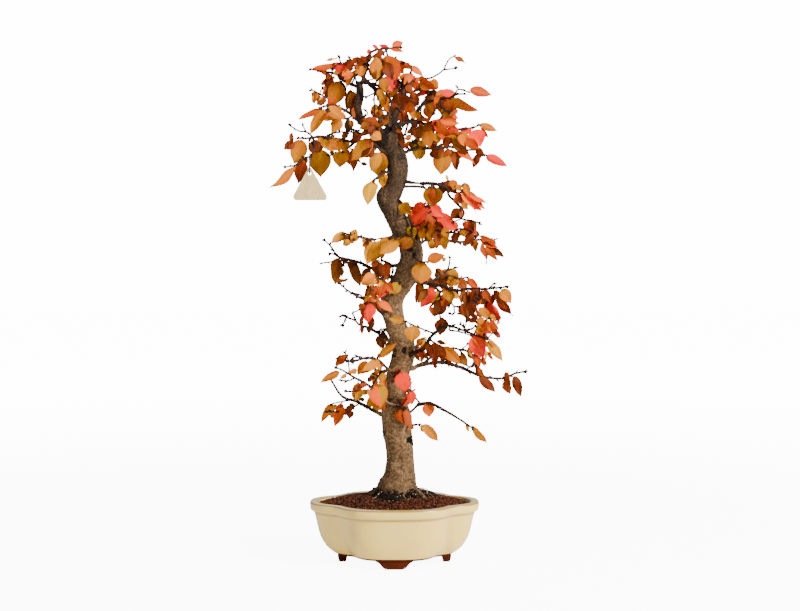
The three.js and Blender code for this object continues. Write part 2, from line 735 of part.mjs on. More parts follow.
        line: [[45, 353], [65, 350], [71, 347], [84, 345], [93, 347], [116, 347], [125, 348], [144, 350]],
      },
      { r: [1, 0.8], y: [-50, -66], line: [[104, 347], [105, 334], [102, 328]] },
      { r: [1, 0.8], y: [-56, -44], line: [[117, 347], [121, 336], [117, 328]] },
    ],
    leaves: [
      [93, 345, 94, 307, 12, "brown"], [108, 345, 99, 323, 12, "rust"],
      [101, 327, 111, 308, 6, "red_brown"], [115, 345, 127, 324, 8, "red_brown"],
      [127, 345, 149, 311, 13, "red_brown"], [137, 347, 149, 329, 14, "orange"],
      [118, 327, 136, 309, 10, "coral"], [116, 325, 122, 307, 9, "orange"], [69, 345, 73, 329, 12, "ochre"],
    ],
  },
  {
    name: "spray_right_fork_up",
    wood: [
      {
        r: [1.6, 0.8],
        y: [-7, 36],
        line: [[37, 355], [48, 357], [58, 364], [67, 371], [70, 378], [71, 388]],
      },
      { r: [1, 0.8], y: [6, 40], line: [[58, 364], [71, 364], [84, 361], [93, 362]] },
      { r: [0.9, 0.7], y: [16, 26], line: [[67, 371], [79, 375]] },
    ],
    leaves: [
      [60, 371, 65, 354, 15, "brown"], [72, 374, 73, 347, 19, "orange"], [82, 360, 93, 347, 12, "rust"],
      [93, 360, 108, 347, 10, "orange_red"],
    ],
  },
  {
    name: "spray_right_fork_hanging",
    wood: [
      { r: [1.6, 0.8], y: [-11, 14], line: [[43, 353], [50, 352], [58, 344], [70, 344], [84, 335]] },
      { r: [1, 0.8], y: [-3, -14], line: [[58, 344], [59, 333]] },
      { r: [1, 0.8], y: [4, -6], line: [[70, 344], [72, 334], [76, 325], [84, 325]] },
      { r: [0.9, 0.7], y: [-2, 6], line: [[76, 325], [76, 316], [70, 315]] },
    ],
    leaves: [
      [42, 348, 29, 328, 9, "brown"], [50, 348, 33, 323, 17, "coral"],
      [54, 345, 53, 327, 8, "yellow_orange"], [57, 332, 51, 311, 10, "brown"],
      [66, 341, 59, 318, 15, "rust"],
    ],
  },
  {
    name: "spray_right_low",
    wood: [
      {
        r: [2.1, 0.9],
        y: [0, -76],
        line: [
          [14, 260], [25, 265], [39, 272], [45, 284], [53, 292], [67, 300], [86, 295], [104, 288],
          [118, 283],
        ],
      },
      { r: [1, 0.8], y: [-28, -36], line: [[51, 290], [33, 297], [13, 306]] },
      { r: [1, 0.8], y: [-30, -20], line: [[56, 294], [59, 302], [59, 310]] },
      { r: [1, 0.8], y: [-60, -76], line: [[102, 290], [107, 300], [114, 306], [122, 310]] },
      { r: [1, 0.8], y: [-20, -28], line: [[45, 283], [53, 277]] },
    ],
    leaves: [
      [59, 309, 59, 288, 15, "brown"], [24, 300, 22, 279, 19, "yellow_orange"],
      [40, 281, 35, 270, 10, "brown"], [36, 270, 34, 250, 6, "peach"], [52, 276, 52, 246, 10, "red_brown"],
      [55, 276, 66, 259, 10, "rust"], [12, 306, -7, 309, 9, "yellow_orange"],
      [110, 304, 128, 293, 13, "salmon"], [122, 309, 136, 282, 7, "salmon"],
      [100, 287, 114, 259, 20, "coral"], [107, 289, 122, 282, 8, "salmon"],
      [119, 281, 139, 254, 12, "yellow_orange"],
    ],
  },
  {
    name: "spray_right_low_small",
    wood: [
      {
        r: [1.6, 0.8],
        y: [15, 48],
        line: [
          [35, 250], [47, 260], [56, 266], [67, 271], [77, 271], [85, 269], [97, 267], [107, 264],
          [114, 261],
        ],
      },
      { r: [0.9, 0.7], y: [34, 38], line: [[85, 270], [94, 277]] },
    ],
    leaves: [
      [69, 270, 82, 251, 13, "peach"], [68, 267, 70, 246, 8, "dark_brown"], [85, 266, 93, 249, 8, "brown"],
      [104, 263, 107, 242, 10, "red_brown"], [114, 260, 116, 247, 5, "red_brown"],
    ],
  },
  {
    name: "spray_right_low_long",
    wood: [
      {
        r: [2.1, 0.9],
        y: [18, 66],
        line: [[45, 252], [62, 253], [84, 247], [107, 237], [125, 233], [139, 233], [154, 239], [169, 242]],
      },
      { r: [0.9, 0.7], y: [32, 28], line: [[91, 244], [102, 250]] },
    ],
    leaves: [
      [108, 236, 130, 214, 13, "red_brown"], [144, 235, 145, 213, 10, "red_brown"],
      [153, 236, 162, 209, 13, "red_brown"],
    ],
  },
  {
    name: "spray_right_base",
    wood: [
      { r: [1.9, 0.9], y: [-16, -66], line: [[30, 199], [45, 201], [62, 193], [84, 180], [100, 169]] },
      { r: [1, 0.8], y: [-18, -30], line: [[33, 200], [26, 209], [21, 218]] },
    ],
    leaves: [
      [43, 201, 44, 183, 15, "salmon"], [100, 171, 118, 148, 9, "yellow_orange"],
      [92, 174, 95, 164, 4, "yellow_orange"], [21, 217, 22, 199, 12, "coral"],
    ],
  },
  {
    name: "spray_right_base_small",
    wood: [{ r: [1.4, 0.8], y: [-6, -32], line: [[8, 171], [22, 173], [33, 174]] }],
    leaves: [[35, 173, 59, 153, 12, "ochre"]],
  },
  {
    name: "spray_front_base",
    wood: [{ r: [1.4, 0.8], y: [-8, -42], line: [[0, 205], [4, 196], [13, 194]] }],
    leaves: [[5, 194, 10, 176, 15, "rust"], [13, 192, 24, 167, 8, "rust"]],
  },
  {
    name: "spray_left_base",
    wood: [
      { r: [1.9, 0.9], y: [16, 56], line: [[-35, 196], [-50, 204], [-66, 209], [-80, 229], [-84, 237]] },
      { r: [1, 0.8], y: [28, 44], line: [[-54, 206], [-63, 204], [-81, 200]] },
      { r: [1, 0.8], y: [21, 10], line: [[-44, 201], [-57, 194], [-70, 191], [-86, 190]] },
    ],
    leaves: [
      [-79, 200, -96, 177, 9, "peach"], [-67, 195, -77, 171, 12, "salmon"],
      [-56, 192, -58, 181, 10, "red_brown"],
    ],
  },
  {
    name: "spray_left_low_front",
    wood: [
      {
        r: [1.9, 0.9],
        y: [-8, -80],
        line: [[-5, 190], [-21, 205], [-29, 220], [-35, 225], [-53, 235], [-68, 244], [-76, 247]],
      },
      { r: [1, 0.8], y: [-34, -44], line: [[-29, 221], [-24, 231], [-17, 240]] },
      { r: [1, 0.8], y: [-38, -56], line: [[-35, 224], [-50, 217], [-62, 216]] },
      { r: [0.9, 0.8], y: [-56, -48], line: [[-50, 234], [-59, 230], [-68, 230]] },
    ],
    leaves: [
      [-70, 241, -95, 228, 8, "peach"], [-59, 240, -49, 243, 5, "orange"],
      [-61, 238, -70, 232, 5, "orange"], [-27, 232, -22, 223, 8, "ochre"], [-17, 239, -15, 226, 8, "ochre"],
      [-44, 221, -50, 203, 12, "ochre"], [-24, 226, -16, 195, 23, "salmon"],
    ],
  },
  {
    name: "spray_left_low",
    wood: [
      { r: [1.7, 0.9], y: [-16, -44], line: [[-16, 252], [-21, 256], [-34, 259], [-49, 256], [-61, 254]] },
      { r: [0.9, 0.7], y: [-42, -34], line: [[-58, 255], [-62, 262], [-63, 267]] },
      { r: [0.9, 0.7], y: [-42, -34], line: [[-59, 254], [-58, 241]] },
    ],
    leaves: [
      [-20, 260, 2, 278, 9, "orange"], [-62, 261, -76, 250, 10, "rust"], [-22, 254, -47, 238, 9, "peach"],
    ],
  },
  {
    name: "spray_front_low",
    wood: [{ r: [1.3, 0.8], y: [-6, -30], line: [[-1, 230], [3, 238], [7, 243]] }],
    leaves: [[10, 241, 13, 215, 19, "coral"]],
  },
  {
    name: "spray_left_mid_low",
    wood: [
      {
        r: [1.6, 0.8],
        y: [16, 54],
        line: [[-21, 291], [-35, 298], [-44, 301], [-51, 307], [-61, 311], [-67, 313]],
      },
      { r: [0.9, 0.8], y: [18, 24], line: [[-24, 293], [-12, 296]] },
    ],
    leaves: [
      [-13, 293, -18, 270, 9, "brown"], [-41, 302, -42, 288, 6, "brown"], [-34, 300, -31, 289, 6, "brown"],
    ],
  },
  {
    name: "spray_left_mid",
    wood: [
      { r: [1.6, 0.8], y: [-16, -62], line: [[-24, 327], [-35, 332], [-50, 339], [-61, 346], [-70, 354]] },
    ],
    leaves: [[-35, 330, -34, 304, 18, "coral"], [-21, 332, 0, 318, 9, "salmon"]],
  },
  {
    name: "spray_left_front",
    wood: [
      { r: [1.6, 0.8], y: [-2, -46], line: [[8, 345], [-3, 351], [-13, 357], [-25, 364]] },
      { r: [1, 0.8], y: [-30, -38], line: [[-13, 357], [-22, 351], [-30, 350]] },
      { r: [1, 0.8], y: [-14, -26], line: [[0, 349], [7, 354]] },
    ],
    leaves: [
      [-13, 355, -19, 335, 15, "coral"], [7, 354, -7, 341, 13, "yellow_orange"],
      [-26, 364, -42, 352, 13, "orange"], [-31, 350, -38, 337, 7, "brown"],
      [-27, 349, -23, 331, 7, "brown"],
    ],
  },
  {
    name: "spray_left_high",
    wood: [
      {
        r: [1.8, 0.8],
        y: [20, 68],
        line: [[-31, 374], [-42, 380], [-59, 385], [-73, 389], [-81, 401], [-90, 410]],
      },
      { r: [1, 0.8], y: [40, 56], line: [[-57, 385], [-63, 383], [-79, 382], [-94, 380]] },
    ],
    leaves: [
      [-72, 384, -76, 352, 14, "brown"], [-56, 383, -43, 350, 13, "brown"],
      [-33, 373, -34, 358, 8, "brown"],
    ],
  },
  {
    name: "spray_left_brown",
    wood: [{ r: [1.4, 0.8], y: [8, -20], line: [[-2, 377], [-11, 382], [-17, 384], [-13, 391], [-10, 396]] }],
    leaves: [
      [-19, 383, -24, 356, 10, "brown"], [-12, 381, -8, 356, 10, "rust"], [-6, 379, -13, 364, 8, "brown"],
    ],
  },
  {
    name: "spray_left_top",
    wood: [{ r: [1.6, 0.8], y: [-22, -64], line: [[-26, 410], [-38, 412], [-57, 417], [-65, 418]] }],
    leaves: [
      [-65, 421, -82, 406, 8, "tan"], [-45, 414, -61, 411, 10, "bright_orange"],
      [-57, 415, -67, 403, 6, "ochre"], [-29, 411, -42, 401, 9, "orange"],
      [-24, 408, -36, 378, 19, "yellow_orange"],
    ],
  },
  {
    name: "spray_front_top",
    wood: [{ r: [1.3, 0.8], y: [-16, -40], line: [[13, 420], [8, 416], [3, 412]] }],
    leaves: [[4, 411, -19, 392, 18, "yellow_orange"]],
  },
];

// Sprays at the back, which follow a rule: they grow away from the viewer out of the trunk, with leaves on
// both sides
const backSprays = [
  { name: "back_spray_1", from: [-2, 555, 6], to: [2, 585, 74], hues: ["ochre", "rust", "salmon"] },
  { name: "back_spray_2", from: [1, 515, 8], to: [-6, 530, 82], hues: ["ochre", "orange", "brown"] },
  { name: "back_spray_3", from: [12, 452, 4], to: [60, 438, 92], hues: ["orange_red", "ochre", "red_brown"] },
  { name: "back_spray_4", from: [10, 428, -6], to: [14, 436, 78], hues: ["orange", "coral", "ochre"] },
  { name: "back_spray_5", from: [16, 372, 4], to: [38, 380, 92], hues: ["brown", "ochre", "orange"] },
  { name: "back_spray_6", from: [-2, 326, 10], to: [-18, 338, 84], hues: ["salmon", "ochre", "brown"] },
  { name: "back_spray_7", from: [11, 262, 12], to: [30, 278, 96], hues: ["ochre", "rust", "orange"] },
  { name: "back_spray_8", from: [2, 200, 4], to: [-24, 214, 88], hues: ["orange", "red_brown", "ochre"] },
];

function grownFromRule({ name, from, to, hues: spread }, index) {
  const draw = drawsFrom(100 + index);
  const [x0, z0, y0] = from;
  const [x1, z1, y1] = to;
  const leaves = spread.map((hue, step) => {
    const share = 0.45 + 0.25 * step;
    const side = step % 2 ? 1 : -1;
    const x = x0 + (x1 - x0) * share;
    const z = z0 + (z1 - z0) * share;
    const tipX = x + side * (12 + 8 * draw());
    const tipZ = z - 10 - 12 * draw();
    return [x + side * 3, z - 2, tipX, tipZ, 9 + 8 * draw(), hue, y0 + (y1 - y0) * share];
  });
  const bend = [x0 + (x1 - x0) * 0.5 + 4, z0 + (z1 - z0) * 0.4];
  return { name, wood: [{ r: [2.2, 0.9], y: [y0, y1], line: [[x0, z0], bend, [x1, z1]] }], leaves };
}

// A line of the lists as points in space, its depth changing evenly along it
function placed({ y, line }) {
  const lengths = [0];
  for (let i = 1; i < line.length; i += 1) {
    lengths.push(lengths[i - 1] + Math.hypot(line[i][0] - line[i - 1][0], line[i][1] - line[i - 1][1]));
  }
  return line.map(([x, z], i) => seen(x, z, THREE.MathUtils.lerp(y[0], y[1], lengths[i] / lengths.at(-1))));
}

// The point of a spray's wood that is nearest to a place in the lists, along its line of sight where the
// place has no depth of its own. Nothing grows nearer than a little way out from the limb.
function nearestOn(paths, x, z, y) {
  const start = paths[0].middles[0];
  let best = null;
  for (const { middles } of paths) {
    for (let i = 0; i < 8 * (middles.length - 1); i += 1) {
      const from = Math.floor(i / 8);
      const point = middles[from].clone().lerp(middles[from + 1], (i + 1) / 8 - from);
      const distance = point.distanceTo(seen(x, z, y ?? point.y));
      if (point.distanceTo(start) > clearOfLimb && (!best || distance < best.distance)) {
        best = { distance, point };
      }
    }
  }
  return best.point;
}

// The first line of a spray starts at its limb, and each of the others on the wood before it
function sprayPaths(wood) {
  const paths = [];
  for (const { y, line } of wood) {
    const points = placed({ y, line });
    if (paths.length) {
      points[0] = nearestOn(paths, ...line[0]);
    }
    paths.push(pathThrough(points, twigStep));
  }
  return paths;
}

function trunkSolid(grow) {
  const line = trunkLine.map(({ x, z, y }) => seen(x, z, y));
  const radii = trunkLine.map(({ r }) => r + grow);
  const parts = [stem(pathThrough(line, trunkStep), radii, trunkSides, knotSwell)];
  for (const { turn, reach, radius } of roots) {
    const angle = THREE.MathUtils.degToRad(turn);
    const at = (distance, z) =>
      new THREE.Vector3(3 + distance * Math.cos(angle), 0.85 * distance * Math.sin(angle), z);
    const points = [at(8, 110), at(17, 94), at(0.72 * reach, 83), at(reach, soilCrown - buriedDepth / 2)];
    const taper = [radius + grow, radius + grow, 0.7 * radius + grow, 0.4 * radius + grow];
    parts.push(stem(pathThrough(points, trunkStep), taper, 6));
  }
  for (const limb of limbs) {
    parts.push(stem(pathThrough(placed(limb), limbStep), [limb.r[0] + grow, limb.r[1] + grow], 5));
  }
  return joined(parts);
}

// Leaves

// Half the blade's width along its length, with coarse teeth, as shares of the whole width and length
const bladeEdge = [
  [0, 0],
  [0.18, 0.38],
  [0.4, 0.5],
  [0.58, 0.4],
  [0.78, 0.3],
  [1, 0],
];
const smallBladeEdge = [
  [0, 0],
  [0.24, 0.44],
  [0.58, 0.46],
  [1, 0],
];
const leastBladeEdge = [
  [0, 0],
  [0.42, 0.5],
  [1, 0],
];
const midribShares = [0, 0.5, 1];

function edgeFor(length) {
  if (length > 32) {
    return bladeEdge;
  }
  return length > 17 ? smallBladeEdge : leastBladeEdge;
}

// Triangles between two rows of points that run the same way
function strip(rowA, sharesA, rowB, sharesB) {
  const faces = [];
  let a = 0;
  let b = 0;
  while (a + 1 < rowA.length || b + 1 < rowB.length) {
    const stepA = b + 1 >= rowB.length || (a + 1 < rowA.length && sharesA[a + 1] <= sharesB[b + 1]);
    if (stepA) {
      faces.push([rowA[a], rowA[a + 1], rowB[b]]);
      a += 1;
    } else {
      faces.push([rowA[a], rowB[b + 1], rowB[b]]);
      b += 1;
    }
  }
  return faces.filter(([p, q, r]) => p !== q && q !== r && p !== r);
}

// A blade with its stalk, folded a little along its midrib and thickest there. The stalk runs to a point that
// is sunk in the twig.
function leafSolid({ root, base, tip, width, turn, curl, fold }, grow) {
  const along = tip.clone().sub(base);
  const length = along.length();
  along.normalize();
  const facing = new THREE.Vector3(0, -1, 0).addScaledVector(along, along.y).normalize();
  const across = facing.clone().cross(along).applyAxisAngle(along, turn);
  const normal = along.clone().cross(across);
  const stalk = base.clone().sub(root).normalize();
  const acrossStalk = normal.clone().cross(stalk.clone().add(along)).normalize();
  const edge = edgeFor(length);
  const points = [];
  const add = (share, sideways, lift) => {
    const arch = lift + fold * Math.abs(sideways) * share - curl * length * share * share;
    const place = base.clone().addScaledVector(along, share * length).addScaledVector(normal, arch);
    return points.push(place.addScaledVector(share ? across : acrossStalk, sideways)) - 1;
  };
  const foot = points.push(root.clone().addScaledVector(stalk, -stalkSunk)) - 1;
  const point = add(1, 0, 0);
  const edgeShares = [-0.2, ...edge.map(([share]) => share)];
  const outline = (side) => [
    foot,
    ...edge.slice(0, -1).map(([share, half]) => {
      return add(share, side * (Math.max(half * width, stalkHalf) + grow), 0);
    }),
    point,
  ];
  const left = outline(-1);
  const right = outline(1);
  const faces = [];
  for (const side of [1, -1]) {
    const half = (share) => (share ? bladeThickness / 2 : stalkHalf) + grow;
    const rib = midribShares.slice(0, -1).map((share) => add(share, 0, side * half(share)));
    rib.push(point);
    const skin = [
      ...strip(left, edgeShares, rib, midribShares),
      ...strip(right, edgeShares, rib, midribShares).map(([p, q, r]) => [q, p, r]),
    ];
    faces.push(...(side > 0 ? skin : skin.map(([p, q, r]) => [q, p, r])));
  }
  return solidFrom(points, faces);
}

const leanSteps = [0, 0.3, -0.3, 0.6, -0.6, 0.9, -0.9, 1.3, -1.3];

function leafShape(paths, [x, z, tipX, tipZ, width, , y], draw, step) {
  const root = nearestOn(paths, x, z, y);
  const base = seen(x, z, root.y);
  const reach = Math.hypot(tipX - x, tipZ - z);
  const lean = 0.7 * (draw.lean - 0.5) + step;
  const tip = seen(tipX, tipZ, root.y + lean * reach);
  const trueWidth = Math.max(width, leastWidthShare * base.distanceTo(tip));
  const turn = Math.sign(draw.side - 0.5) * Math.acos(width / trueWidth);
  const curl = 0.3 * (draw.curl - 0.35);
  const fold = 0.25 + 0.3 * draw.fold;
  return { root, base, tip, width: trueWidth, turn, curl, fold };
}

// Where the tag hangs on its twig, and how far below it
const tagHang = { x: -107.2, z: 515 };
const tagDrop = 17.7;

function tagSolid({ x, y, z }) {
  const half = tagWidth / 2;
  const shape = new THREE.Shape();
  shape.moveTo(-2.9, 1.4);
  shape.quadraticCurveTo(0, 7.2, 2.9, 1.4);
  shape.lineTo(half + 0.6, -tagHeight + 7.3);
  shape.quadraticCurveTo(half + 3.4, -tagHeight, half - 2.5, -tagHeight);
  shape.lineTo(-half + 4.4, -tagHeight);
  shape.quadraticCurveTo(-half - 2.6, -tagHeight, -half + 0.4, -tagHeight + 7.3);
  const geometry = new THREE.ExtrudeGeometry(shape, {
    depth: tagThickness,
    bevelEnabled: false,
    curveSegments: 5,
  });
  geometry.rotateX(Math.PI / 2).translate(0, tagThickness / 2, 0);
  const hole = new THREE.CylinderGeometry(tagHole, tagHole, 2 * tagThickness, 12).translate(0, 0, -3.6);
  return solidOf(geometry).subtract(solidOf(hole)).translate(x, y, z);
}

// A closed loop, narrow from front to back, between two heights
function cordGeometry(x, y, low, high) {
  const half = (high - low) / 2 - cordRadius;
  const line = [];
  for (let step = 0; step < 12; step += 1) {
    const angle = (2 * Math.PI * step) / 12;
    const z = (low + high) / 2 + half * Math.cos(angle);
    line.push(new THREE.Vector3(x, y + cordReach * Math.sin(angle), z));
  }
  return new THREE.TubeGeometry(new THREE.CatmullRomCurve3(line, true), 16, cordRadius, 5, true);
}

// Assembly

const materials = {
  glaze: new THREE.MeshStandardMaterial({ color: 0xe6d8b4, roughness: 0.3 }),
  mesh: new THREE.MeshStandardMaterial({ color: 0x24282a, roughness: 0.7 }),
  soil: new THREE.MeshStandardMaterial({ color: 0x7d4630, roughness: 1 }),
  humus: new THREE.MeshStandardMaterial({ color: 0x14110f, roughness: 1 }),
  bark: new THREE.MeshStandardMaterial({ color: 0x95785c, roughness: 0.95 }),
  tagWood: new THREE.MeshStandardMaterial({ color: 0xcdbea5, roughness: 0.8 }),
  cord: new THREE.MeshStandardMaterial({ color: 0x2c2620, roughness: 0.9 }),
};

const tree = new THREE.Group();

function addMesh(name, solid, material) {
  const { vertProperties, triVerts } = largestBody(solid.simplify(finest)).getMesh();
  const geometry = new THREE.BufferGeometry();
  geometry.setAttribute("position", new THREE.BufferAttribute(vertProperties, 3));
  geometry.setIndex(new THREE.BufferAttribute(triVerts, 1));
  geometry.computeVertexNormals();
  const mesh = new THREE.Mesh(geometry, material);
  mesh.name = name;
  tree.add(mesh);
}

addMesh("pot", potSolid(), materials.glaze);

const trunk = trunkSolid(0);
const trunkRoom = trunkSolid(gap);
const humusRoom = humusSolid(gap);
let soil = soilSolid().subtract(humusRoom).subtract(trunkRoom);
[-1, 1].forEach((side) => {
  const x = side * drainHole.fromMiddle;
  const room = new THREE.BoxGeometry(screenWidth + 2 * gap, screenWidth + 2 * gap, 4);
  soil = soil.subtract(solidOf(room.translate(x, 0, floorTop + screenThickness + 2 * gap - 2)));
  addMesh(side < 0 ? "drain_screen_left" : "drain_screen_right", drainScreen(x), materials.mesh);
});
addMesh("soil", soil, materials.soil);
addMesh("root_soil", humusSolid(0).subtract(trunkRoom), materials.humus);
addMesh("trunk", trunk, materials.bark);

// All the wood is grown first, and then each leaf, which leans to clear what is already there
const grown = [...sprays, ...backSprays.map(grownFromRule)].map((spray) => {
  const paths = sprayPaths(spray.wood);
  const parts = paths.map((path, i) => stem(path, spray.wood[i].r, i ? 3 : 4));
  const wood = largestBody(joined(parts).subtract(trunkRoom));
  return { ...spray, wood, paths };
});

const boundsOf = (solid) => {
  const { min, max } = solid.boundingBox();
  return new THREE.Box3(new THREE.Vector3(...min), new THREE.Vector3(...max));
};

// The cord goes over the drooping twig of the left arm and through the tag's hole
const droopingTwig = grown.find(({ name }) => name === "spray_left_arm").paths.at(-1);
const hang = nearestOn([droopingTwig], tagHang.x, tagHang.z);
const tagTop = new THREE.Vector3(hang.x, hang.y, hang.z - tagDrop);
const tag = tagSolid(tagTop);
addMesh("tag", tag, materials.tagWood);
const cord = solidOf(cordGeometry(hang.x, hang.y, tagTop.z - 5, hang.z + 4));
addMesh("tag_cord", cord, materials.cord);

const obstacles = [trunk, tag, cord].map((solid) => ({ owner: "tree", solid, box: boundsOf(solid) }));
for (const { name, wood } of grown) {
  obstacles.push({ owner: name, solid: wood, box: boundsOf(wood), isWood: true });
}

// A leaf may sink its stalk in its own twig, but its blade doesn't cross anything
function clears(solid, owner, mayTouchOwn = false) {
  const box = boundsOf(solid);
  return obstacles.every((other) => {
    if (!other.box.intersectsBox(box) || (other.owner === owner && mayTouchOwn)) {
      return true;
    }
    const shared = other.solid.intersect(solid).volume();
    return shared < (other.owner === owner && other.isWood ? sunkStalk : 1e-6);
  });
}

const drawLeaf = drawsFrom(2024);
for (const { name, wood, paths, leaves } of grown) {
  let whole = wood;
  for (const leaf of leaves) {
    const draw = { lean: drawLeaf(), side: drawLeaf(), curl: drawLeaf(), fold: drawLeaf() };
    const shapes = leanSteps.map((step) => leafShape(paths, leaf, draw, step));
    const clear =
      shapes.find((shape) => clears(leafSolid(shape, gap), name)) ??
      shapes.find((shape) => clears(leafSolid(shape, gap), name, true));
    const solid = leafSolid(clear, 0);
    obstacles.push({ owner: name, solid, box: boundsOf(solid) });
    whole = whole.add(solid);
  }
  addMesh(name, whole, new THREE.MeshStandardMaterial({ color: hues[leaves[0][5]], roughness: 0.6 }));
}

// The origin lies under the middle of the whole tree
const reach = new THREE.Box3().setFromObject(tree);
tree.position.set(-(reach.min.x + reach.max.x) / 2, -(reach.min.y + reach.max.y) / 2, 0);
const bonsai = new THREE.Group();
bonsai.add(tree);

export default bonsai;
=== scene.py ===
# Korean hornbeam bonsai in autumn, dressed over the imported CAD
import bmesh
import bpy
import math
import random
import numpy as np
from mathutils import Matrix, Vector, noise
from mathutils.bvhtree import BVHTree


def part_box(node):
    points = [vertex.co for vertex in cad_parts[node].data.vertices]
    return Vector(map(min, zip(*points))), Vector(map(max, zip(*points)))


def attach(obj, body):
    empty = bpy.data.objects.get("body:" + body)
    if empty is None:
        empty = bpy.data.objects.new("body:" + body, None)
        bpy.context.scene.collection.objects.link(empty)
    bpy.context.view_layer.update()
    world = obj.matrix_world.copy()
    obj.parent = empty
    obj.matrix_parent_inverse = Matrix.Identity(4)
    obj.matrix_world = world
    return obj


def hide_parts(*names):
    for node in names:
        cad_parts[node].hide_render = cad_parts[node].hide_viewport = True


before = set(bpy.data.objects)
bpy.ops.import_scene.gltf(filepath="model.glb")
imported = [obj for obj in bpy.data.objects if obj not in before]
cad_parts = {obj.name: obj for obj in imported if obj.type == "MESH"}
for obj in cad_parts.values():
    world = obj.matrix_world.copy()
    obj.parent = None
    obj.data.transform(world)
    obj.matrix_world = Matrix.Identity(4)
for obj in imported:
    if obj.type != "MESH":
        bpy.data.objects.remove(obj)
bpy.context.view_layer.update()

mm = 0.001
potLow, potHigh = (Vector(corner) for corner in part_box("pot"))
middle = (potLow + potHigh) / 2
origin = Vector((middle.x, middle.y, 0))  # the tree is laid out about the pot's middle

# How the lists below are seen: from this far in front and this high, in millimetres
viewDistance = 1800
eyeHeight = 388


def seen(x, z, y):
    spread = 1 + y / viewDistance
    return Vector((x * spread, y, eyeHeight + (z - eyeHeight) * spread))


def drawsFrom(seed):  # the same draws as in the part's source
    state = seed & 0xFFFFFFFF

    def draw():
        nonlocal state
        state = (state + 0x6D2B79F5) & 0xFFFFFFFF
        t = ((state ^ (state >> 15)) * (1 | state)) & 0xFFFFFFFF
        t = ((t + ((t ^ (t >> 7)) * (61 | t) & 0xFFFFFFFF)) & 0xFFFFFFFF) ^ t
        return (t ^ (t >> 14)) / 4294967296

    return draw


def lerp(a, b, share):
    return a + (b - a) * share


def smooth(a, b, value):
    share = min(1, max(0, (value - a) / (b - a)))
    return share * share * (3 - 2 * share)


def bend(a, b, c, count):  # a curve from a to c that leans towards b
    return [lerp(lerp(a, b, t / count), lerp(b, c, t / count), t / count) for t in range(count + 1)]


def distancesAlong(line, between):
    lengths = [0]
    for a, b in zip(line, line[1:]):
        lengths.append(lengths[-1] + between(a, b))
    return lengths


def apart(a, b):
    return (b - a).length


def rowsAs(keys, *rows):  # each row as a dictionary
    return [dict(zip(keys.split(), row)) for row in rows]


# Lists of the tree

trunkLine = rowsAs(
    "x z r y",
    (3, 66, 23, 0), (2, 84, 26, 0), (3, 93, 25.5, 0), (6, 103, 22.4, 0), (7, 116, 19.2, 0),
    (7, 129, 17.5, -1), (6, 141, 17.4, -3), (4.6, 154, 17.4, -4), (3.6, 167, 18.2, -4),
    (2.6, 180, 19.1, -4), (0.8, 192, 18.1, -3), (0, 205, 15.1, -2), (0, 218, 14, 0), (3, 231, 14.6, 2),
    (6, 244, 14.2, 4), (10, 256, 15.2, 6), (12, 269, 15, 8), (10, 282, 14.6, 9), (4, 295, 13.6, 9),
    (0, 307, 13.8, 8), (-2.6, 320, 14.4, 6), (-3, 333, 14.8, 4), (3.2, 346, 14.4, 2), (12, 359, 15, 0),
    (17, 371, 16, -2), (21, 384, 15.2, -5), (21, 397, 15, -8), (18, 410, 14.8, -11), (10.4, 423, 15, -12),
    (3.6, 435, 13.2, -12), (-3, 448, 13, -10), (-7, 461, 14, -8), (-2.4, 474, 13.6, -6),
    (2.4, 487, 13.4, -3), (4, 499, 13.8, -1), (3, 512, 14, 0), (-2, 525, 14.8, 0), (-6, 538, 18, 0),
    (-8, 547, 14.5, 0),
)

knots = rowsAs(
    "x z toX toY reach swell",
    (19, 152, 1, -0.8, 9, 0.16), (-8, 163, -1, -0.7, 8, 0.14), (16, 186, 0.8, 0.6, 12, 0.14),
    (12, 269, 0.4, -1, 7, -0.14), (26, 395, 0.6, -1, 9, 0.2), (-20, 465, -1, -0.2, 8, 0.22),
    (10, 516, 0.8, -0.6, 7, -0.15), (-18, 546, -0.7, -0.7, 10, 0.2),
)

roots = rowsAs(
    "turn reach radius",
    (188, 40, 8.5), (232, 38, 7.5), (282, 37, 8), (335, 46, 8.5), (22, 43, 8), (78, 38, 7.5),
    (132, 41, 8.5),
)

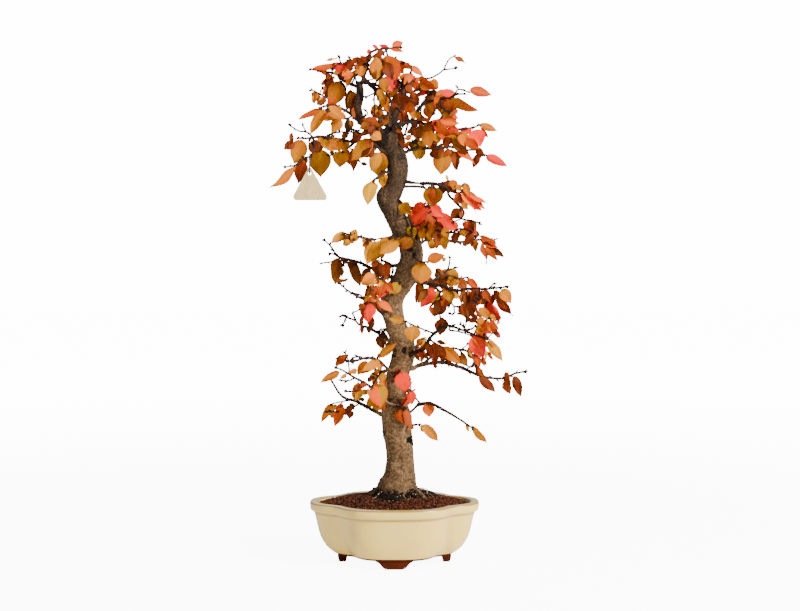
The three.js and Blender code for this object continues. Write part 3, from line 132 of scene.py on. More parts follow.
# Each stem's radius and depth at its start and end, then x and z of its points
limbs = {
    "crown_left": [9.5, 5.2, 0, -8, [-9, 540], [-19, 546], [-31, 555], [-46, 563]],
    "crown_stub": [6, 5.2, -5, 3, [-36, 556], [-44, 566], [-47, 578], [-44, 595], [-45, 613]],
    "crown_middle": [5.5, 2.6, 0, 14, [-7, 545], [-8, 556], [-1, 570], [7, 582], [10, 594]],
    "crown_right": [5, 2.6, 0, -10, [-7, 543], [4, 556], [20, 561], [30, 560]],
    "left_arm": [3.8, 2.2, -2, -10, [-8, 535], [-21, 536], [-42, 536], [-57, 535]],
    "right_high": [3, 2, 4, 20, [5, 519], [12, 521], [21, 525], [33, 527]],
    "right_mid": [3.2, 2.1, -6, -22, [4, 487], [16, 484], [33, 482]],
    "right_long": [3.6, 2.1, -6, 18, [20, 396], [29, 403], [39, 409], [51, 410]],
    "right_fork": [4, 2.6, -2, -14, [18, 357], [26, 357], [45, 353]],
    "right_low": [4, 2.5, 8, 18, [11, 245], [24, 246], [30, 249], [45, 252]],
    "right_base": [3.2, 2.1, -6, -16, [8, 188], [20, 190], [30, 199]],
    "left_base": [3.8, 2.2, 0, 16, [-4, 186], [-17, 187], [-35, 196]],
    "left_low": [2.8, 2, -6, -16, [3, 234], [-3, 241], [-10, 246], [-16, 252]],
    "left_mid_low": [2.8, 1.9, 8, 16, [6, 278], [-6, 280], [-17, 286], [-21, 291]],
    "left_mid": [2.8, 1.9, 0, -16, [-2, 306], [-9, 310], [-20, 319], [-24, 327]],
    "left_high": [3, 2, 2, 20, [16, 377], [4, 378], [-11, 375], [-31, 374]],
    "left_top": [3, 1.9, -12, -22, [12, 416], [-4, 414], [-26, 410]],
}

sprayLists = {  # twigs as above, and leaves as base x and z, tip x and z, width and hue
    "spray_tip": ([
        [
            1.7, 0.9, 4, 18, [-43, 609], [-38, 622], [-34, 632], [-35, 640], [-31, 649], [-22, 653],
            [-6, 655], [8, 656],
        ],
        [1, 0.8, 16, 8, [-8, 655], [-15, 648], [-21, 640]],
        [1, 0.8, 16, 26, [-11, 655], [-8, 645], [1, 642], [8, 637]],
    ], [
        [-34, 630, -50, 625, 10, "orange"], [-34, 640, -44, 632, 8, "red_brown"],
        [-29, 649, -35, 655, 3, "rose"], [-21, 654, -29, 660, 5, "rose"], [-7, 655, -20, 659, 6, "rose"],
        [-3, 657, 11, 663, 10, "salmon"], [-6, 655, 13, 649, 6, "salmon"], [-18, 646, -27, 640, 8, "rose"],
        [-15, 642, -20, 612, 8, "brown"], [-12, 637, -3, 614, 15, "red_brown"],
        [1, 641, -6, 614, 18, "orange_red"], [7, 636, 21, 630, 8, "rust"],
    ]),
    "spray_tip_front": ([
        [1.6, 0.8, -2, -40, [-43, 611], [-26, 609], [-16, 604], [-8, 594], [-4, 585], [-7, 570]],
        [1, 0.8, -14, -30, [-26, 609], [-20, 616], [-15, 620]],
        [1, 0.8, -22, -34, [-13, 601], [-24, 598], [-26, 589], [-25, 582]],
    ], [
        [-15, 618, -1, 599, 13, "rose"], [-15, 609, -4, 599, 12, "ochre"], [-17, 598, -7, 572, 12, "ochre"],
        [-25, 580, -24, 563, 12, "rust"],
    ]),
    "spray_crown_left": ([
        [
            1.8, 0.9, 4, 52, [-45, 604], [-57, 610], [-66, 614], [-73, 621], [-82, 624], [-95, 626],
            [-107, 628],
        ],
        [1, 0.8, 26, 34, [-67, 615], [-68, 632], [-71, 645]],
        [1, 0.8, 14, 2, [-55, 609], [-49, 622], [-51, 632], [-58, 644]],
    ], [
        [-85, 623, -104, 629, 6, "salmon"], [-68, 635, -79, 628, 9, "rose"], [-72, 643, -89, 638, 4, "tan"],
        [-71, 636, -87, 631, 5, "rust"], [-76, 619, -94, 609, 5, "salmon"],
        [-53, 625, -62, 604, 8, "orange"], [-80, 620, -88, 591, 10, "rust"],
        [-68, 613, -81, 580, 22, "ochre"], [-56, 602, -61, 575, 10, "rust"],
    ]),
    "spray_crown_low": ([
        [2, 0.9, -9, -56, [-46, 562], [-57, 572], [-66, 577], [-74, 581], [-89, 581], [-97, 578]],
        [1, 0.7, -32, -40, [-74, 581], [-82, 589], [-90, 593], [-98, 598], [-107, 602]],
        [1, 0.8, -16, -30, [-54, 569], [-61, 565], [-66, 565]],
    ], [
        [-95, 596, -103, 585, 4, "tan"], [-96, 577, -122, 562, 9, "orange_red"],
        [-90, 577, -109, 545, 14, "yellow_orange"], [-86, 579, -63, 564, 14, "orange"],
        [-68, 564, -81, 547, 13, "ochre"], [-58, 564, -62, 545, 9, "brown"],
    ]),
    "spray_left_arm": ([
        [2, 0.9, -10, -34, [-57, 535], [-70, 538], [-82, 540], [-95, 542], [-110, 540], [-123, 540]],
        [1.1, 0.8, -28, -44, [-104, 541], [-113, 548], [-122, 549], [-135, 557]],
        [0.9, 0.7, -34, -26, [-113, 548], [-118, 558]],
        [1.2, 0.8, -28, -42, [-104, 541], [-103, 526], [-108, 517], [-117, 514], [-126, 506], [-139, 503]],
    ], [
        [-131, 547, -134, 535, 5, "rust"], [-128, 535, -142, 526, 12, "red_brown"],
        [-118, 538, -128, 507, 20, "orange"], [-117, 512, -123, 481, 15, "rust"],
        [-126, 503, -158, 472, 9, "orange"], [-107, 536, -95, 522, 13, "dark_brown"],
        [-92, 539, -86, 526, 9, "ochre"], [-84, 538, -72, 525, 12, "bright_orange"],
        [-69, 535, -62, 522, 9, "ochre"],
    ]),
    "spray_left_hanging": ([
        [1.5, 0.8, -8, 34, [-51, 535], [-59, 528], [-66, 523], [-77, 520], [-84, 517]],
        [0.9, 0.7, 22, 36, [-77, 521], [-91, 531]],
    ], [
        [-68, 524, -70, 502, 19, "ochre"], [-54, 527, -50, 494, 12, "rust"],
        [-95, 526, -95, 490, 27, "ochre"],
    ]),
    "spray_left_shoulder": ([
        [1.7, 0.9, -4, -44, [-6, 515], [-13, 522], [-24, 530], [-30, 538], [-30, 545]],
    ], [
        [-29, 547, -17, 538, 13, "bright_orange"], [-29, 538, -56, 511, 19, "bright_orange"],
        [-26, 527, -43, 515, 14, "red_brown"], [-19, 522, -22, 488, 22, "ochre"],
    ]),
    "spray_left_upper": ([
        [1.5, 0.9, -6, -38, [-3, 494], [-13, 497], [-21, 491], [-26, 486]],
    ], [
        [-30, 484, -35, 455, 17, "pale_yellow"], [-13, 494, -16, 476, 8, "peach"],
    ]),
    "spray_crown_middle": ([
        [1.8, 0.8, 14, 36, [10, 594], [13, 604], [20, 612], [21, 622], [21, 631]],
        [1.2, 0.8, 22, 54, [18, 609], [30, 617], [40, 616], [49, 618], [62, 627], [70, 641], [77, 645]],
        [0.9, 0.7, 44, 40, [62, 627], [79, 630]],
        [1.1, 0.8, 18, 44, [12, 599], [17, 599], [34, 602], [45, 600]],
        [1, 0.8, 20, 34, [13, 604], [7, 612], [3, 614]],
    ], [
        [20, 632, 39, 619, 9, "salmon"], [6, 616, 25, 622, 9, "salmon"], [9, 611, 18, 600, 10, "rust"],
        [30, 617, 56, 603, 10, "salmon"], [22, 611, 47, 598, 10, "salmon"], [44, 601, 29, 594, 6, "rose"],
        [45, 600, 56, 586, 9, "coral"], [9, 596, 10, 573, 23, "dark_brown"],
        [47, 598, 45, 563, 17, "red_brown"], [22, 599, 33, 580, 10, "brown"],
    ]),
    "spray_right_fork_high": ([
        [
            1.8, 0.9, -7, -52, [22, 561], [25, 567], [31, 577], [39, 585], [50, 588], [59, 591], [70, 591],
            [77, 595], [90, 597],
        ],
        [0.9, 0.7, -46, -56, [77, 595], [81, 602], [95, 599]],
        [1, 0.8, -36, -50, [59, 591], [61, 580], [71, 573]],
    ], [
        [26, 577, 25, 564, 14, "orange"], [43, 583, 45, 563, 9, "ochre"], [26, 568, 46, 562, 6, "salmon"],
        [59, 596, 80, 598, 12, "coral"], [96, 602, 126, 596, 12, "orange_red"],
        [82, 603, 77, 609, 3, "rose"], [70, 589, 107, 573, 12, "orange_red"],
        [59, 587, 81, 573, 13, "rust"], [72, 572, 82, 564, 5, "coral"], [62, 578, 69, 564, 10, "ochre"],
    ]),
    "spray_right_fork_low": ([
        [1.9, 0.9, -10, 30, [30, 560], [39, 558], [58, 548], [71, 549], [86, 552], [98, 553], [109, 557]],
        [1, 0.8, 4, -16, [58, 548], [67, 540], [79, 543], [85, 544]],
    ], [
        [49, 560, 84, 558, 10, "salmon"], [52, 553, 75, 537, 12, "salmon"], [32, 557, 32, 536, 10, "brown"],
        [39, 554, 45, 527, 16, "ochre"], [42, 556, 50, 546, 12, "red_brown"],
        [109, 558, 132, 548, 10, "orange"], [100, 550, 111, 529, 23, "coral"],
        [110, 553, 122, 540, 4, "coral"], [86, 547, 94, 534, 10, "bright_orange"],
    ]),
    "spray_right_high": ([
        [1.8, 0.9, 20, 62, [33, 527], [58, 527], [71, 529], [86, 525], [99, 525], [108, 525], [116, 518]],
    ], [
        [35, 530, 31, 511, 13, "yellow_orange"], [48, 525, 54, 513, 13, "dark_brown"],
        [62, 522, 59, 492, 23, "ochre"], [77, 524, 79, 498, 12, "rust"], [76, 530, 95, 521, 9, "brown"],
        [79, 525, 107, 507, 9, "salmon"], [108, 521, 100, 502, 8, "red_brown"],
        [117, 518, 144, 503, 12, "rose"], [108, 528, 114, 516, 6, "rust"],
    ]),
    "spray_right_mid": ([
        [
            1.8, 0.8, -22, -84, [33, 482], [54, 481], [68, 474], [69, 468], [76, 460], [84, 452], [89, 444],
            [86, 437], [97, 435], [109, 431],
        ],
        [1, 0.8, -31, -28, [54, 481], [68, 485]],
        [1, 0.8, -42, -52, [68, 472], [87, 470]],
        [0.9, 0.7, -70, -64, [86, 437], [75, 433]],
    ], [
        [65, 478, 75, 471, 8, "dark_brown"], [69, 485, 81, 474, 12, "orange"],
        [68, 486, 66, 494, 4, "pale_yellow"], [88, 472, 118, 452, 10, "orange_red"],
        [86, 469, 108, 448, 9, "orange_red"], [82, 467, 103, 450, 9, "orange_red"],
        [50, 478, 48, 451, 24, "ochre"], [45, 479, 49, 453, 12, "rust"],
        [86, 448, 71, 437, 14, "dark_brown"], [97, 434, 104, 421, 10, "red_brown"],
        [89, 434, 103, 415, 9, "rose"],
    ]),
    "spray_right_hanging": ([
        [1.5, 0.8, -4, 14, [4, 478], [27, 478], [39, 476], [43, 466], [43, 456], [49, 448], [56, 444]],
    ], [
        [39, 455, 25, 426, 22, "coral"], [44, 454, 63, 439, 15, "coral"], [53, 443, 82, 421, 17, "coral"],
    ]),
    "spray_right_small": ([
        [1.4, 0.8, -12, -34, [-4, 466], [8, 459], [17, 443], [22, 429], [22, 416]],
    ], [
        [8, 457, 22, 442, 15, "ochre"], [21, 428, 24, 411, 12, "yellow_orange"],
        [21, 413, 8, 397, 14, "brown"],
    ]),
    "spray_right_long": ([
        [1.8, 0.9, 18, 62, [51, 410], [61, 410], [84, 407], [105, 410], [122, 409], [130, 411]],
        [0.9, 0.8, 48, 46, [104, 410], [105, 419]],
    ], [
        [52, 408, 45, 398, 10, "ochre"], [56, 409, 53, 398, 6, "ochre"],
        [102, 408, 104, 395, 9, "red_brown"], [110, 411, 132, 400, 10, "salmon"],
        [112, 408, 119, 378, 8, "red_brown"], [117, 407, 131, 383, 8, "red_brown"],
        [118, 406, 140, 387, 10, "red_brown"],
    ]),
    "spray_right_knot": ([
        [1.9, 0.9, -10, -50, [21, 398], [28, 411], [33, 419], [40, 426], [44, 433], [43, 444]],
        [1.1, 0.8, -36, -66, [40, 426], [49, 423], [58, 421], [73, 419], [82, 424], [99, 421]],
    ], [
        [37, 428, 35, 408, 10, "ochre"], [47, 437, 48, 412, 9, "brown"], [43, 421, 47, 408, 8, "peach"],
        [58, 427, 58, 406, 14, "rust"], [65, 416, 63, 397, 10, "ochre"],
        [77, 418, 77, 404, 10, "dark_brown"], [83, 424, 96, 413, 8, "ochre"],
        [99, 419, 90, 401, 10, "red_brown"],
    ]),
    "spray_front_knot": ([
        [1.5, 0.8, -12, -42, [15, 398], [25, 388], [33, 382], [42, 382]],
    ], [
        [36, 379, 33, 354, 24, "orange"], [42, 384, 65, 391, 13, "orange"],
    ]),
    "spray_right_fork": ([
        [
            2, 0.9, -14, -70, [45, 353], [65, 350], [71, 347], [84, 345], [93, 347], [116, 347], [125, 348],
            [144, 350],
        ],
        [1, 0.8, -50, -66, [104, 347], [105, 334], [102, 328]],
        [1, 0.8, -56, -44, [117, 347], [121, 336], [117, 328]],
    ], [
        [93, 345, 94, 307, 12, "brown"], [108, 345, 99, 323, 12, "rust"],
        [101, 327, 111, 308, 6, "red_brown"], [115, 345, 127, 324, 8, "red_brown"],
        [127, 345, 149, 311, 13, "red_brown"], [137, 347, 149, 329, 14, "orange"],
        [118, 327, 136, 309, 10, "coral"], [116, 325, 122, 307, 9, "orange"],
        [69, 345, 73, 329, 12, "ochre"],
    ]),
    "spray_right_fork_up": ([
        [1.6, 0.8, -7, 36, [37, 355], [48, 357], [58, 364], [67, 371], [70, 378], [71, 388]],
        [1, 0.8, 6, 40, [58, 364], [71, 364], [84, 361], [93, 362]],
        [0.9, 0.7, 16, 26, [67, 371], [79, 375]],
    ], [
        [60, 371, 65, 354, 15, "brown"], [72, 374, 73, 347, 19, "orange"], [82, 360, 93, 347, 12, "rust"],
        [93, 360, 108, 347, 10, "orange_red"],
    ]),
    "spray_right_fork_hanging": ([
        [1.6, 0.8, -11, 14, [43, 353], [50, 352], [58, 344], [70, 344], [84, 335]],
        [1, 0.8, -3, -14, [58, 344], [59, 333]],
        [1, 0.8, 4, -6, [70, 344], [72, 334], [76, 325], [84, 325]],
        [0.9, 0.7, -2, 6, [76, 325], [76, 316], [70, 315]],
    ], [
        [42, 348, 29, 328, 9, "brown"], [50, 348, 33, 323, 17, "coral"],
        [54, 345, 53, 327, 8, "yellow_orange"], [57, 332, 51, 311, 10, "brown"],
        [66, 341, 59, 318, 15, "rust"],
    ]),
    "spray_right_low": ([
        [
            2.1, 0.9, 0, -76, [14, 260], [25, 265], [39, 272], [45, 284], [53, 292], [67, 300], [86, 295],
            [104, 288], [118, 283],
        ],
        [1, 0.8, -28, -36, [51, 290], [33, 297], [13, 306]],
        [1, 0.8, -30, -20, [56, 294], [59, 302], [59, 310]],
        [1, 0.8, -60, -76, [102, 290], [107, 300], [114, 306], [122, 310]],
        [1, 0.8, -20, -28, [45, 283], [53, 277]],
    ], [
        [59, 309, 59, 288, 15, "brown"], [24, 300, 22, 279, 19, "yellow_orange"],
        [40, 281, 35, 270, 10, "brown"], [36, 270, 34, 250, 6, "peach"],
        [52, 276, 52, 246, 10, "red_brown"], [55, 276, 66, 259, 10, "rust"],
        [12, 306, -7, 309, 9, "yellow_orange"], [110, 304, 128, 293, 13, "salmon"],
        [122, 309, 136, 282, 7, "salmon"], [100, 287, 114, 259, 20, "coral"],
        [107, 289, 122, 282, 8, "salmon"], [119, 281, 139, 254, 12, "yellow_orange"],
    ]),
    "spray_right_low_small": ([
        [
            1.6, 0.8, 15, 48, [35, 250], [47, 260], [56, 266], [67, 271], [77, 271], [85, 269], [97, 267],
            [107, 264], [114, 261],
        ],
        [0.9, 0.7, 34, 38, [85, 270], [94, 277]],
    ], [
        [69, 270, 82, 251, 13, "peach"], [68, 267, 70, 246, 8, "dark_brown"],
        [85, 266, 93, 249, 8, "brown"], [104, 263, 107, 242, 10, "red_brown"],
        [114, 260, 116, 247, 5, "red_brown"],
    ]),
    "spray_right_low_long": ([
        [
            2.1, 0.9, 18, 66, [45, 252], [62, 253], [84, 247], [107, 237], [125, 233], [139, 233],
            [154, 239], [169, 242],
        ],
        [0.9, 0.7, 32, 28, [91, 244], [102, 250]],
    ], [
        [108, 236, 130, 214, 13, "red_brown"], [144, 235, 145, 213, 10, "red_brown"],
        [153, 236, 162, 209, 13, "red_brown"],
    ]),
    "spray_right_base": ([
        [1.9, 0.9, -16, -66, [30, 199], [45, 201], [62, 193], [84, 180], [100, 169]],
        [1, 0.8, -18, -30, [33, 200], [26, 209], [21, 218]],
    ], [
        [43, 201, 44, 183, 15, "salmon"], [100, 171, 118, 148, 9, "yellow_orange"],
        [92, 174, 95, 164, 4, "yellow_orange"], [21, 217, 22, 199, 12, "coral"],
    ]),
    "spray_right_base_small": ([
        [1.4, 0.8, -6, -32, [8, 171], [22, 173], [33, 174]],
    ], [
        [35, 173, 59, 153, 12, "ochre"],
    ]),
    "spray_front_base": ([
        [1.4, 0.8, -8, -42, [0, 205], [4, 196], [13, 194]],
    ], [
        [5, 194, 10, 176, 15, "rust"], [13, 192, 24, 167, 8, "rust"],
    ]),
    "spray_left_base": ([
        [1.9, 0.9, 16, 56, [-35, 196], [-50, 204], [-66, 209], [-80, 229], [-84, 237]],
        [1, 0.8, 28, 44, [-54, 206], [-63, 204], [-81, 200]],
        [1, 0.8, 21, 10, [-44, 201], [-57, 194], [-70, 191], [-86, 190]],
    ], [
        [-79, 200, -96, 177, 9, "peach"], [-67, 195, -77, 171, 12, "salmon"],
        [-56, 192, -58, 181, 10, "red_brown"],
    ]),
    "spray_left_low_front": ([
        [
            1.9, 0.9, -8, -80, [-5, 190], [-21, 205], [-29, 220], [-35, 225], [-53, 235], [-68, 244],
            [-76, 247],
        ],
        [1, 0.8, -34, -44, [-29, 221], [-24, 231], [-17, 240]],
        [1, 0.8, -38, -56, [-35, 224], [-50, 217], [-62, 216]],
        [0.9, 0.8, -56, -48, [-50, 234], [-59, 230], [-68, 230]],
    ], [
        [-70, 241, -95, 228, 8, "peach"], [-59, 240, -49, 243, 5, "orange"],
        [-61, 238, -70, 232, 5, "orange"], [-27, 232, -22, 223, 8, "ochre"],
        [-17, 239, -15, 226, 8, "ochre"], [-44, 221, -50, 203, 12, "ochre"],
        [-24, 226, -16, 195, 23, "salmon"],
    ]),
    "spray_left_low": ([
        [1.7, 0.9, -16, -44, [-16, 252], [-21, 256], [-34, 259], [-49, 256], [-61, 254]],
        [0.9, 0.7, -42, -34, [-58, 255], [-62, 262], [-63, 267]],
        [0.9, 0.7, -42, -34, [-59, 254], [-58, 241]],
    ], [
        [-20, 260, 2, 278, 9, "orange"], [-62, 261, -76, 250, 10, "rust"], [-22, 254, -47, 238, 9, "peach"],
    ]),
    "spray_front_low": ([
        [1.3, 0.8, -6, -30, [-1, 230], [3, 238], [7, 243]],
    ], [
        [10, 241, 13, 215, 19, "coral"],
    ]),
    "spray_left_mid_low": ([
        [1.6, 0.8, 16, 54, [-21, 291], [-35, 298], [-44, 301], [-51, 307], [-61, 311], [-67, 313]],
        [0.9, 0.8, 18, 24, [-24, 293], [-12, 296]],
    ], [
        [-13, 293, -18, 270, 9, "brown"], [-41, 302, -42, 288, 6, "brown"],
        [-34, 300, -31, 289, 6, "brown"],
    ]),
    "spray_left_mid": ([
        [1.6, 0.8, -16, -62, [-24, 327], [-35, 332], [-50, 339], [-61, 346], [-70, 354]],
    ], [
        [-35, 330, -34, 304, 18, "coral"], [-21, 332, 0, 318, 9, "salmon"],
    ]),
    "spray_left_front": ([
        [1.6, 0.8, -2, -46, [8, 345], [-3, 351], [-13, 357], [-25, 364]],
        [1, 0.8, -30, -38, [-13, 357], [-22, 351], [-30, 350]],
        [1, 0.8, -14, -26, [0, 349], [7, 354]],
    ], [
        [-13, 355, -19, 335, 15, "coral"], [7, 354, -7, 341, 13, "yellow_orange"],
        [-26, 364, -42, 352, 13, "orange"], [-31, 350, -38, 337, 7, "brown"],
        [-27, 349, -23, 331, 7, "brown"],
    ]),
    "spray_left_high": ([
        [1.8, 0.8, 20, 68, [-31, 374], [-42, 380], [-59, 385], [-73, 389], [-81, 401], [-90, 410]],
        [1, 0.8, 40, 56, [-57, 385], [-63, 383], [-79, 382], [-94, 380]],
    ], [
        [-72, 384, -76, 352, 14, "brown"], [-56, 383, -43, 350, 13, "brown"],
        [-33, 373, -34, 358, 8, "brown"],
    ]),
    "spray_left_brown": ([
        [1.4, 0.8, 8, -20, [-2, 377], [-11, 382], [-17, 384], [-13, 391], [-10, 396]],
    ], [
        [-19, 383, -24, 356, 10, "brown"], [-12, 381, -8, 356, 10, "rust"], [-6, 379, -13, 364, 8, "brown"],
    ]),
    "spray_left_top": ([
        [1.6, 0.8, -22, -64, [-26, 410], [-38, 412], [-57, 417], [-65, 418]],
    ], [
        [-65, 421, -82, 406, 8, "tan"], [-45, 414, -61, 411, 10, "bright_orange"],
        [-57, 415, -67, 403, 6, "ochre"], [-29, 411, -42, 401, 9, "orange"],
        [-24, 408, -36, 378, 19, "yellow_orange"],
    ]),
    "spray_front_top": ([
        [1.3, 0.8, -16, -40, [13, 420], [8, 416], [3, 412]],
    ], [
        [4, 411, -19, 392, 18, "yellow_orange"],
    ]),
}

backSprays = rowsAs(  # x, z and depth of both ends
    "name from to hues",
    ("back_spray_1", [-2, 555, 6], [2, 585, 74], ["ochre", "rust", "salmon"]),
    ("back_spray_2", [1, 515, 8], [-6, 530, 82], ["ochre", "orange", "brown"]),
    ("back_spray_3", [12, 452, 4], [60, 438, 92], ["orange_red", "ochre", "red_brown"]),
    ("back_spray_4", [10, 428, -6], [14, 436, 78], ["orange", "coral", "ochre"]),
    ("back_spray_5", [16, 372, 4], [38, 380, 92], ["brown", "ochre", "orange"]),
    ("back_spray_6", [-2, 326, 10], [-18, 338, 84], ["salmon", "ochre", "brown"]),
    ("back_spray_7", [11, 262, 12], [30, 278, 87], ["ochre", "rust", "orange"]),
    ("back_spray_8", [2, 200, 4], [-24, 214, 88], ["orange", "red_brown", "ochre"]),
)


def stemOf(row):  # a row of a stem, with names
    return {"r": row[:2], "y": row[2:4], "line": row[4:]}


sprays = [
    {"name": name, "wood": [stemOf(row) for row in twigs], "leaves": leaves}
    for name, (twigs, leaves) in sprayLists.items()
]


# Lines

def curveThrough(points, per=12):  # a smooth line through the points, finely sampled
    points = [Vector(p) for p in points]
    ends = [points[0] * 2 - points[1]] + points + [points[-1] * 2 - points[-2]]
    line = []
    for i in range(len(points) - 1):
        p0, p1, p2, p3 = ends[i:i + 4]
        d0, d1, d2 = (max(1e-4, (b - a).length_squared ** 0.25) for a, b in ((p0, p1), (p1, p2), (p2, p3)))
        t1 = ((p1 - p0) / d0 - (p2 - p0) / (d0 + d1) + (p2 - p1) / d1) * d1
        t2 = ((p2 - p1) / d1 - (p3 - p1) / (d1 + d2) + (p3 - p2) / d2) * d1
        for j in range(per):
            t = j / per
            squared = (p2 * 3 - p1 * 3 - t1 * 2 - t2) * t * t
            cubed = (p1 * 2 - p2 * 2 + t1 + t2) * t ** 3
            line.append(p1 + t1 * t + squared + cubed)
    line.append(points[-1])
    return line


def evenly(line, step):  # the line again, in even steps, with the share of its length at each
    lengths = distancesAlong(line, apart)
    count = max(2, round(lengths[-1] / step))
    spots = np.linspace(0, lengths[-1], count + 1)
    columns = [np.interp(spots, lengths, [p[k] for p in line]) for k in range(3)]
    return [Vector(p) for p in zip(*columns)], spots / lengths[-1]


def framesAlong(line):  # two directions across the line at each of its points, without twist
    frames = []
    side = None
    for i, p in enumerate(line):
        ahead = (line[min(i + 1, len(line) - 1)] - line[max(i - 1, 0)]).normalized()
        if side is None:
            side = ahead.orthogonal().normalized()
        side = (side - ahead * side.dot(ahead)).normalized()
        frames.append((side, ahead.cross(side), ahead))
    return frames


def placed(part):  # a line of the lists in space, its depth changing evenly along it
    line, depth = part["line"], part["y"]
    lengths = distancesAlong(line, math.dist)
    return [seen(x, z, lerp(*depth, reached / lengths[-1])) for (x, z), reached in zip(line, lengths)]


def nearestOn(paths, x, z, y=None, clear=4):  # as in the part's source
    start = paths[0][0]
    best = None
    for path in paths:
        for a, b in zip(path, path[1:]):
            for j in range(1, 5):
                point = a.lerp(b, j / 4)
                distance = (point - seen(x, z, point.y if y is None else y)).length
                if (point - start).length > clear and (best is None or distance < best[0]):
                    best = (distance, point)
    return best[1]


# Surfaces

class Pile:  # gathers the surface of one piece, in millimetres about the pot's middle
    def __init__(self):
        self.points, self.faces, self.kinds, self.tints, self.spots = [], [], [], [], []
        self.leafPoints = []
        self.count = 0

    def add(self, points, faces, kind, tints, spots):
        self.points.append(np.asarray(points, dtype=float))
        self.faces.extend(tuple(self.count + k for k in face) for face in faces)
        self.kinds.extend([kind] * len(faces))
        self.tints.append(np.broadcast_to(np.asarray(tints, dtype=float), (len(points), 3)))
        self.spots.append(np.broadcast_to(np.asarray(spots, dtype=float), (len(points), 2)))
        self.count += len(points)

    def piece(self, name, materials):
        mesh = bpy.data.meshes.new(name)
        points = np.concatenate(self.points) * mm + np.array(origin)
        mesh.from_pydata(points.tolist(), [], self.faces)
        for material in materials:
            mesh.materials.append(material)
        mesh.polygons.foreach_set("material_index", self.kinds)
        mesh.polygons.foreach_set("use_smooth", [True] * len(self.faces))
        tint = mesh.attributes.new("tint", "FLOAT_COLOR", "POINT")
        tints = np.concatenate(self.tints)
        tint.data.foreach_set("color", np.column_stack((tints, np.ones(len(tints)))).ravel())
        corners = np.zeros(len(mesh.loops), dtype=int)
        mesh.loops.foreach_get("vertex_index", corners)
        spots = np.concatenate(self.spots)
        mesh.uv_layers.new(name="spots").data.foreach_set("uv", spots[corners].ravel())
        mesh.validate()
        made = bpy.data.objects.new(name, mesh)
        bpy.context.collection.objects.link(made)
        return made


def ringFaces(rings, sides, first=True, last=True):  # quads between rings of one size, with fans at the ends
    faces = []
    for i in range(rings - 1):
        for s in range(sides):
            a, b = i * sides + s, i * sides + (s + 1) % sides
            faces.append((a, b, b + sides, a + sides))
    if first:
        faces.append(tuple(reversed(range(sides))))
    if last:
        faces.append(tuple((rings - 1) * sides + s for s in range(sides)))
    return faces


def tube(pile, line, radii, sides, kind, tint, roughness=0):  # radii run along the even line
    points = []
    for i, (across, up, _) in enumerate(framesAlong(line)):
        p = line[i]
        for s in range(sides):
            angle = 2 * math.pi * s / sides
            out = across * math.cos(angle) + up * math.sin(angle)
            swell = 1 + roughness * noise.noise((p + out * radii[i]) * 0.6)
            points.append(p + out * radii[i] * swell)
    spots = [(s / sides, i / 10) for i in range(len(line)) for s in range(sides)]
    pile.add(points, ringFaces(len(line), sides), kind, tint, spots)


# Colours

def linear(color):  # 0xrrggbb as linear light
    parts = [(color >> shift & 255) / 255 for shift in (16, 8, 0)]
    return np.array([c / 12.92 if c < 0.04045 else ((c + 0.055) / 1.055) ** 2.4 for c in parts])


class Wire:  # an output socket that can be used in plain sums
    def __init__(self, tree, socket):
        self.tree, self.socket = tree, socket

    def sum(self, operation, *values):
        return self.tree.add("ShaderNodeMath", {"operation": operation}, dict(enumerate(values))).out()

    def __add__(self, other):
        return self.sum("ADD", self, other)

    def __radd__(self, other):
        return self.sum("ADD", other, self)

    def __sub__(self, other):
        return self.sum("SUBTRACT", self, other)

    def __rsub__(self, other):
        return self.sum("SUBTRACT", other, self)

    def __mul__(self, other):
        return self.sum("MULTIPLY", self, other)

    def __rmul__(self, other):
        return self.sum("MULTIPLY", other, self)

    def abs(self):
        return self.sum("ABSOLUTE", self)

    def fract(self):
        return self.sum("FRACT", self)

    def most(self, other):
        return self.sum("MAXIMUM", self, other)

    def ramp(self, low, high):  # 0 below low, 1 above high, smooth between
        settings = {"interpolation_type": "SMOOTHSTEP"}
        return self.tree.add("ShaderNodeMapRange", settings, {0: self, 1: low, 2: high}).out()


class Made:  # a node that has been made
    def __init__(self, tree, node):
        self.tree, self.node = tree, node

    def out(self, name=0):
        return Wire(self.tree, self.node.outputs[name])


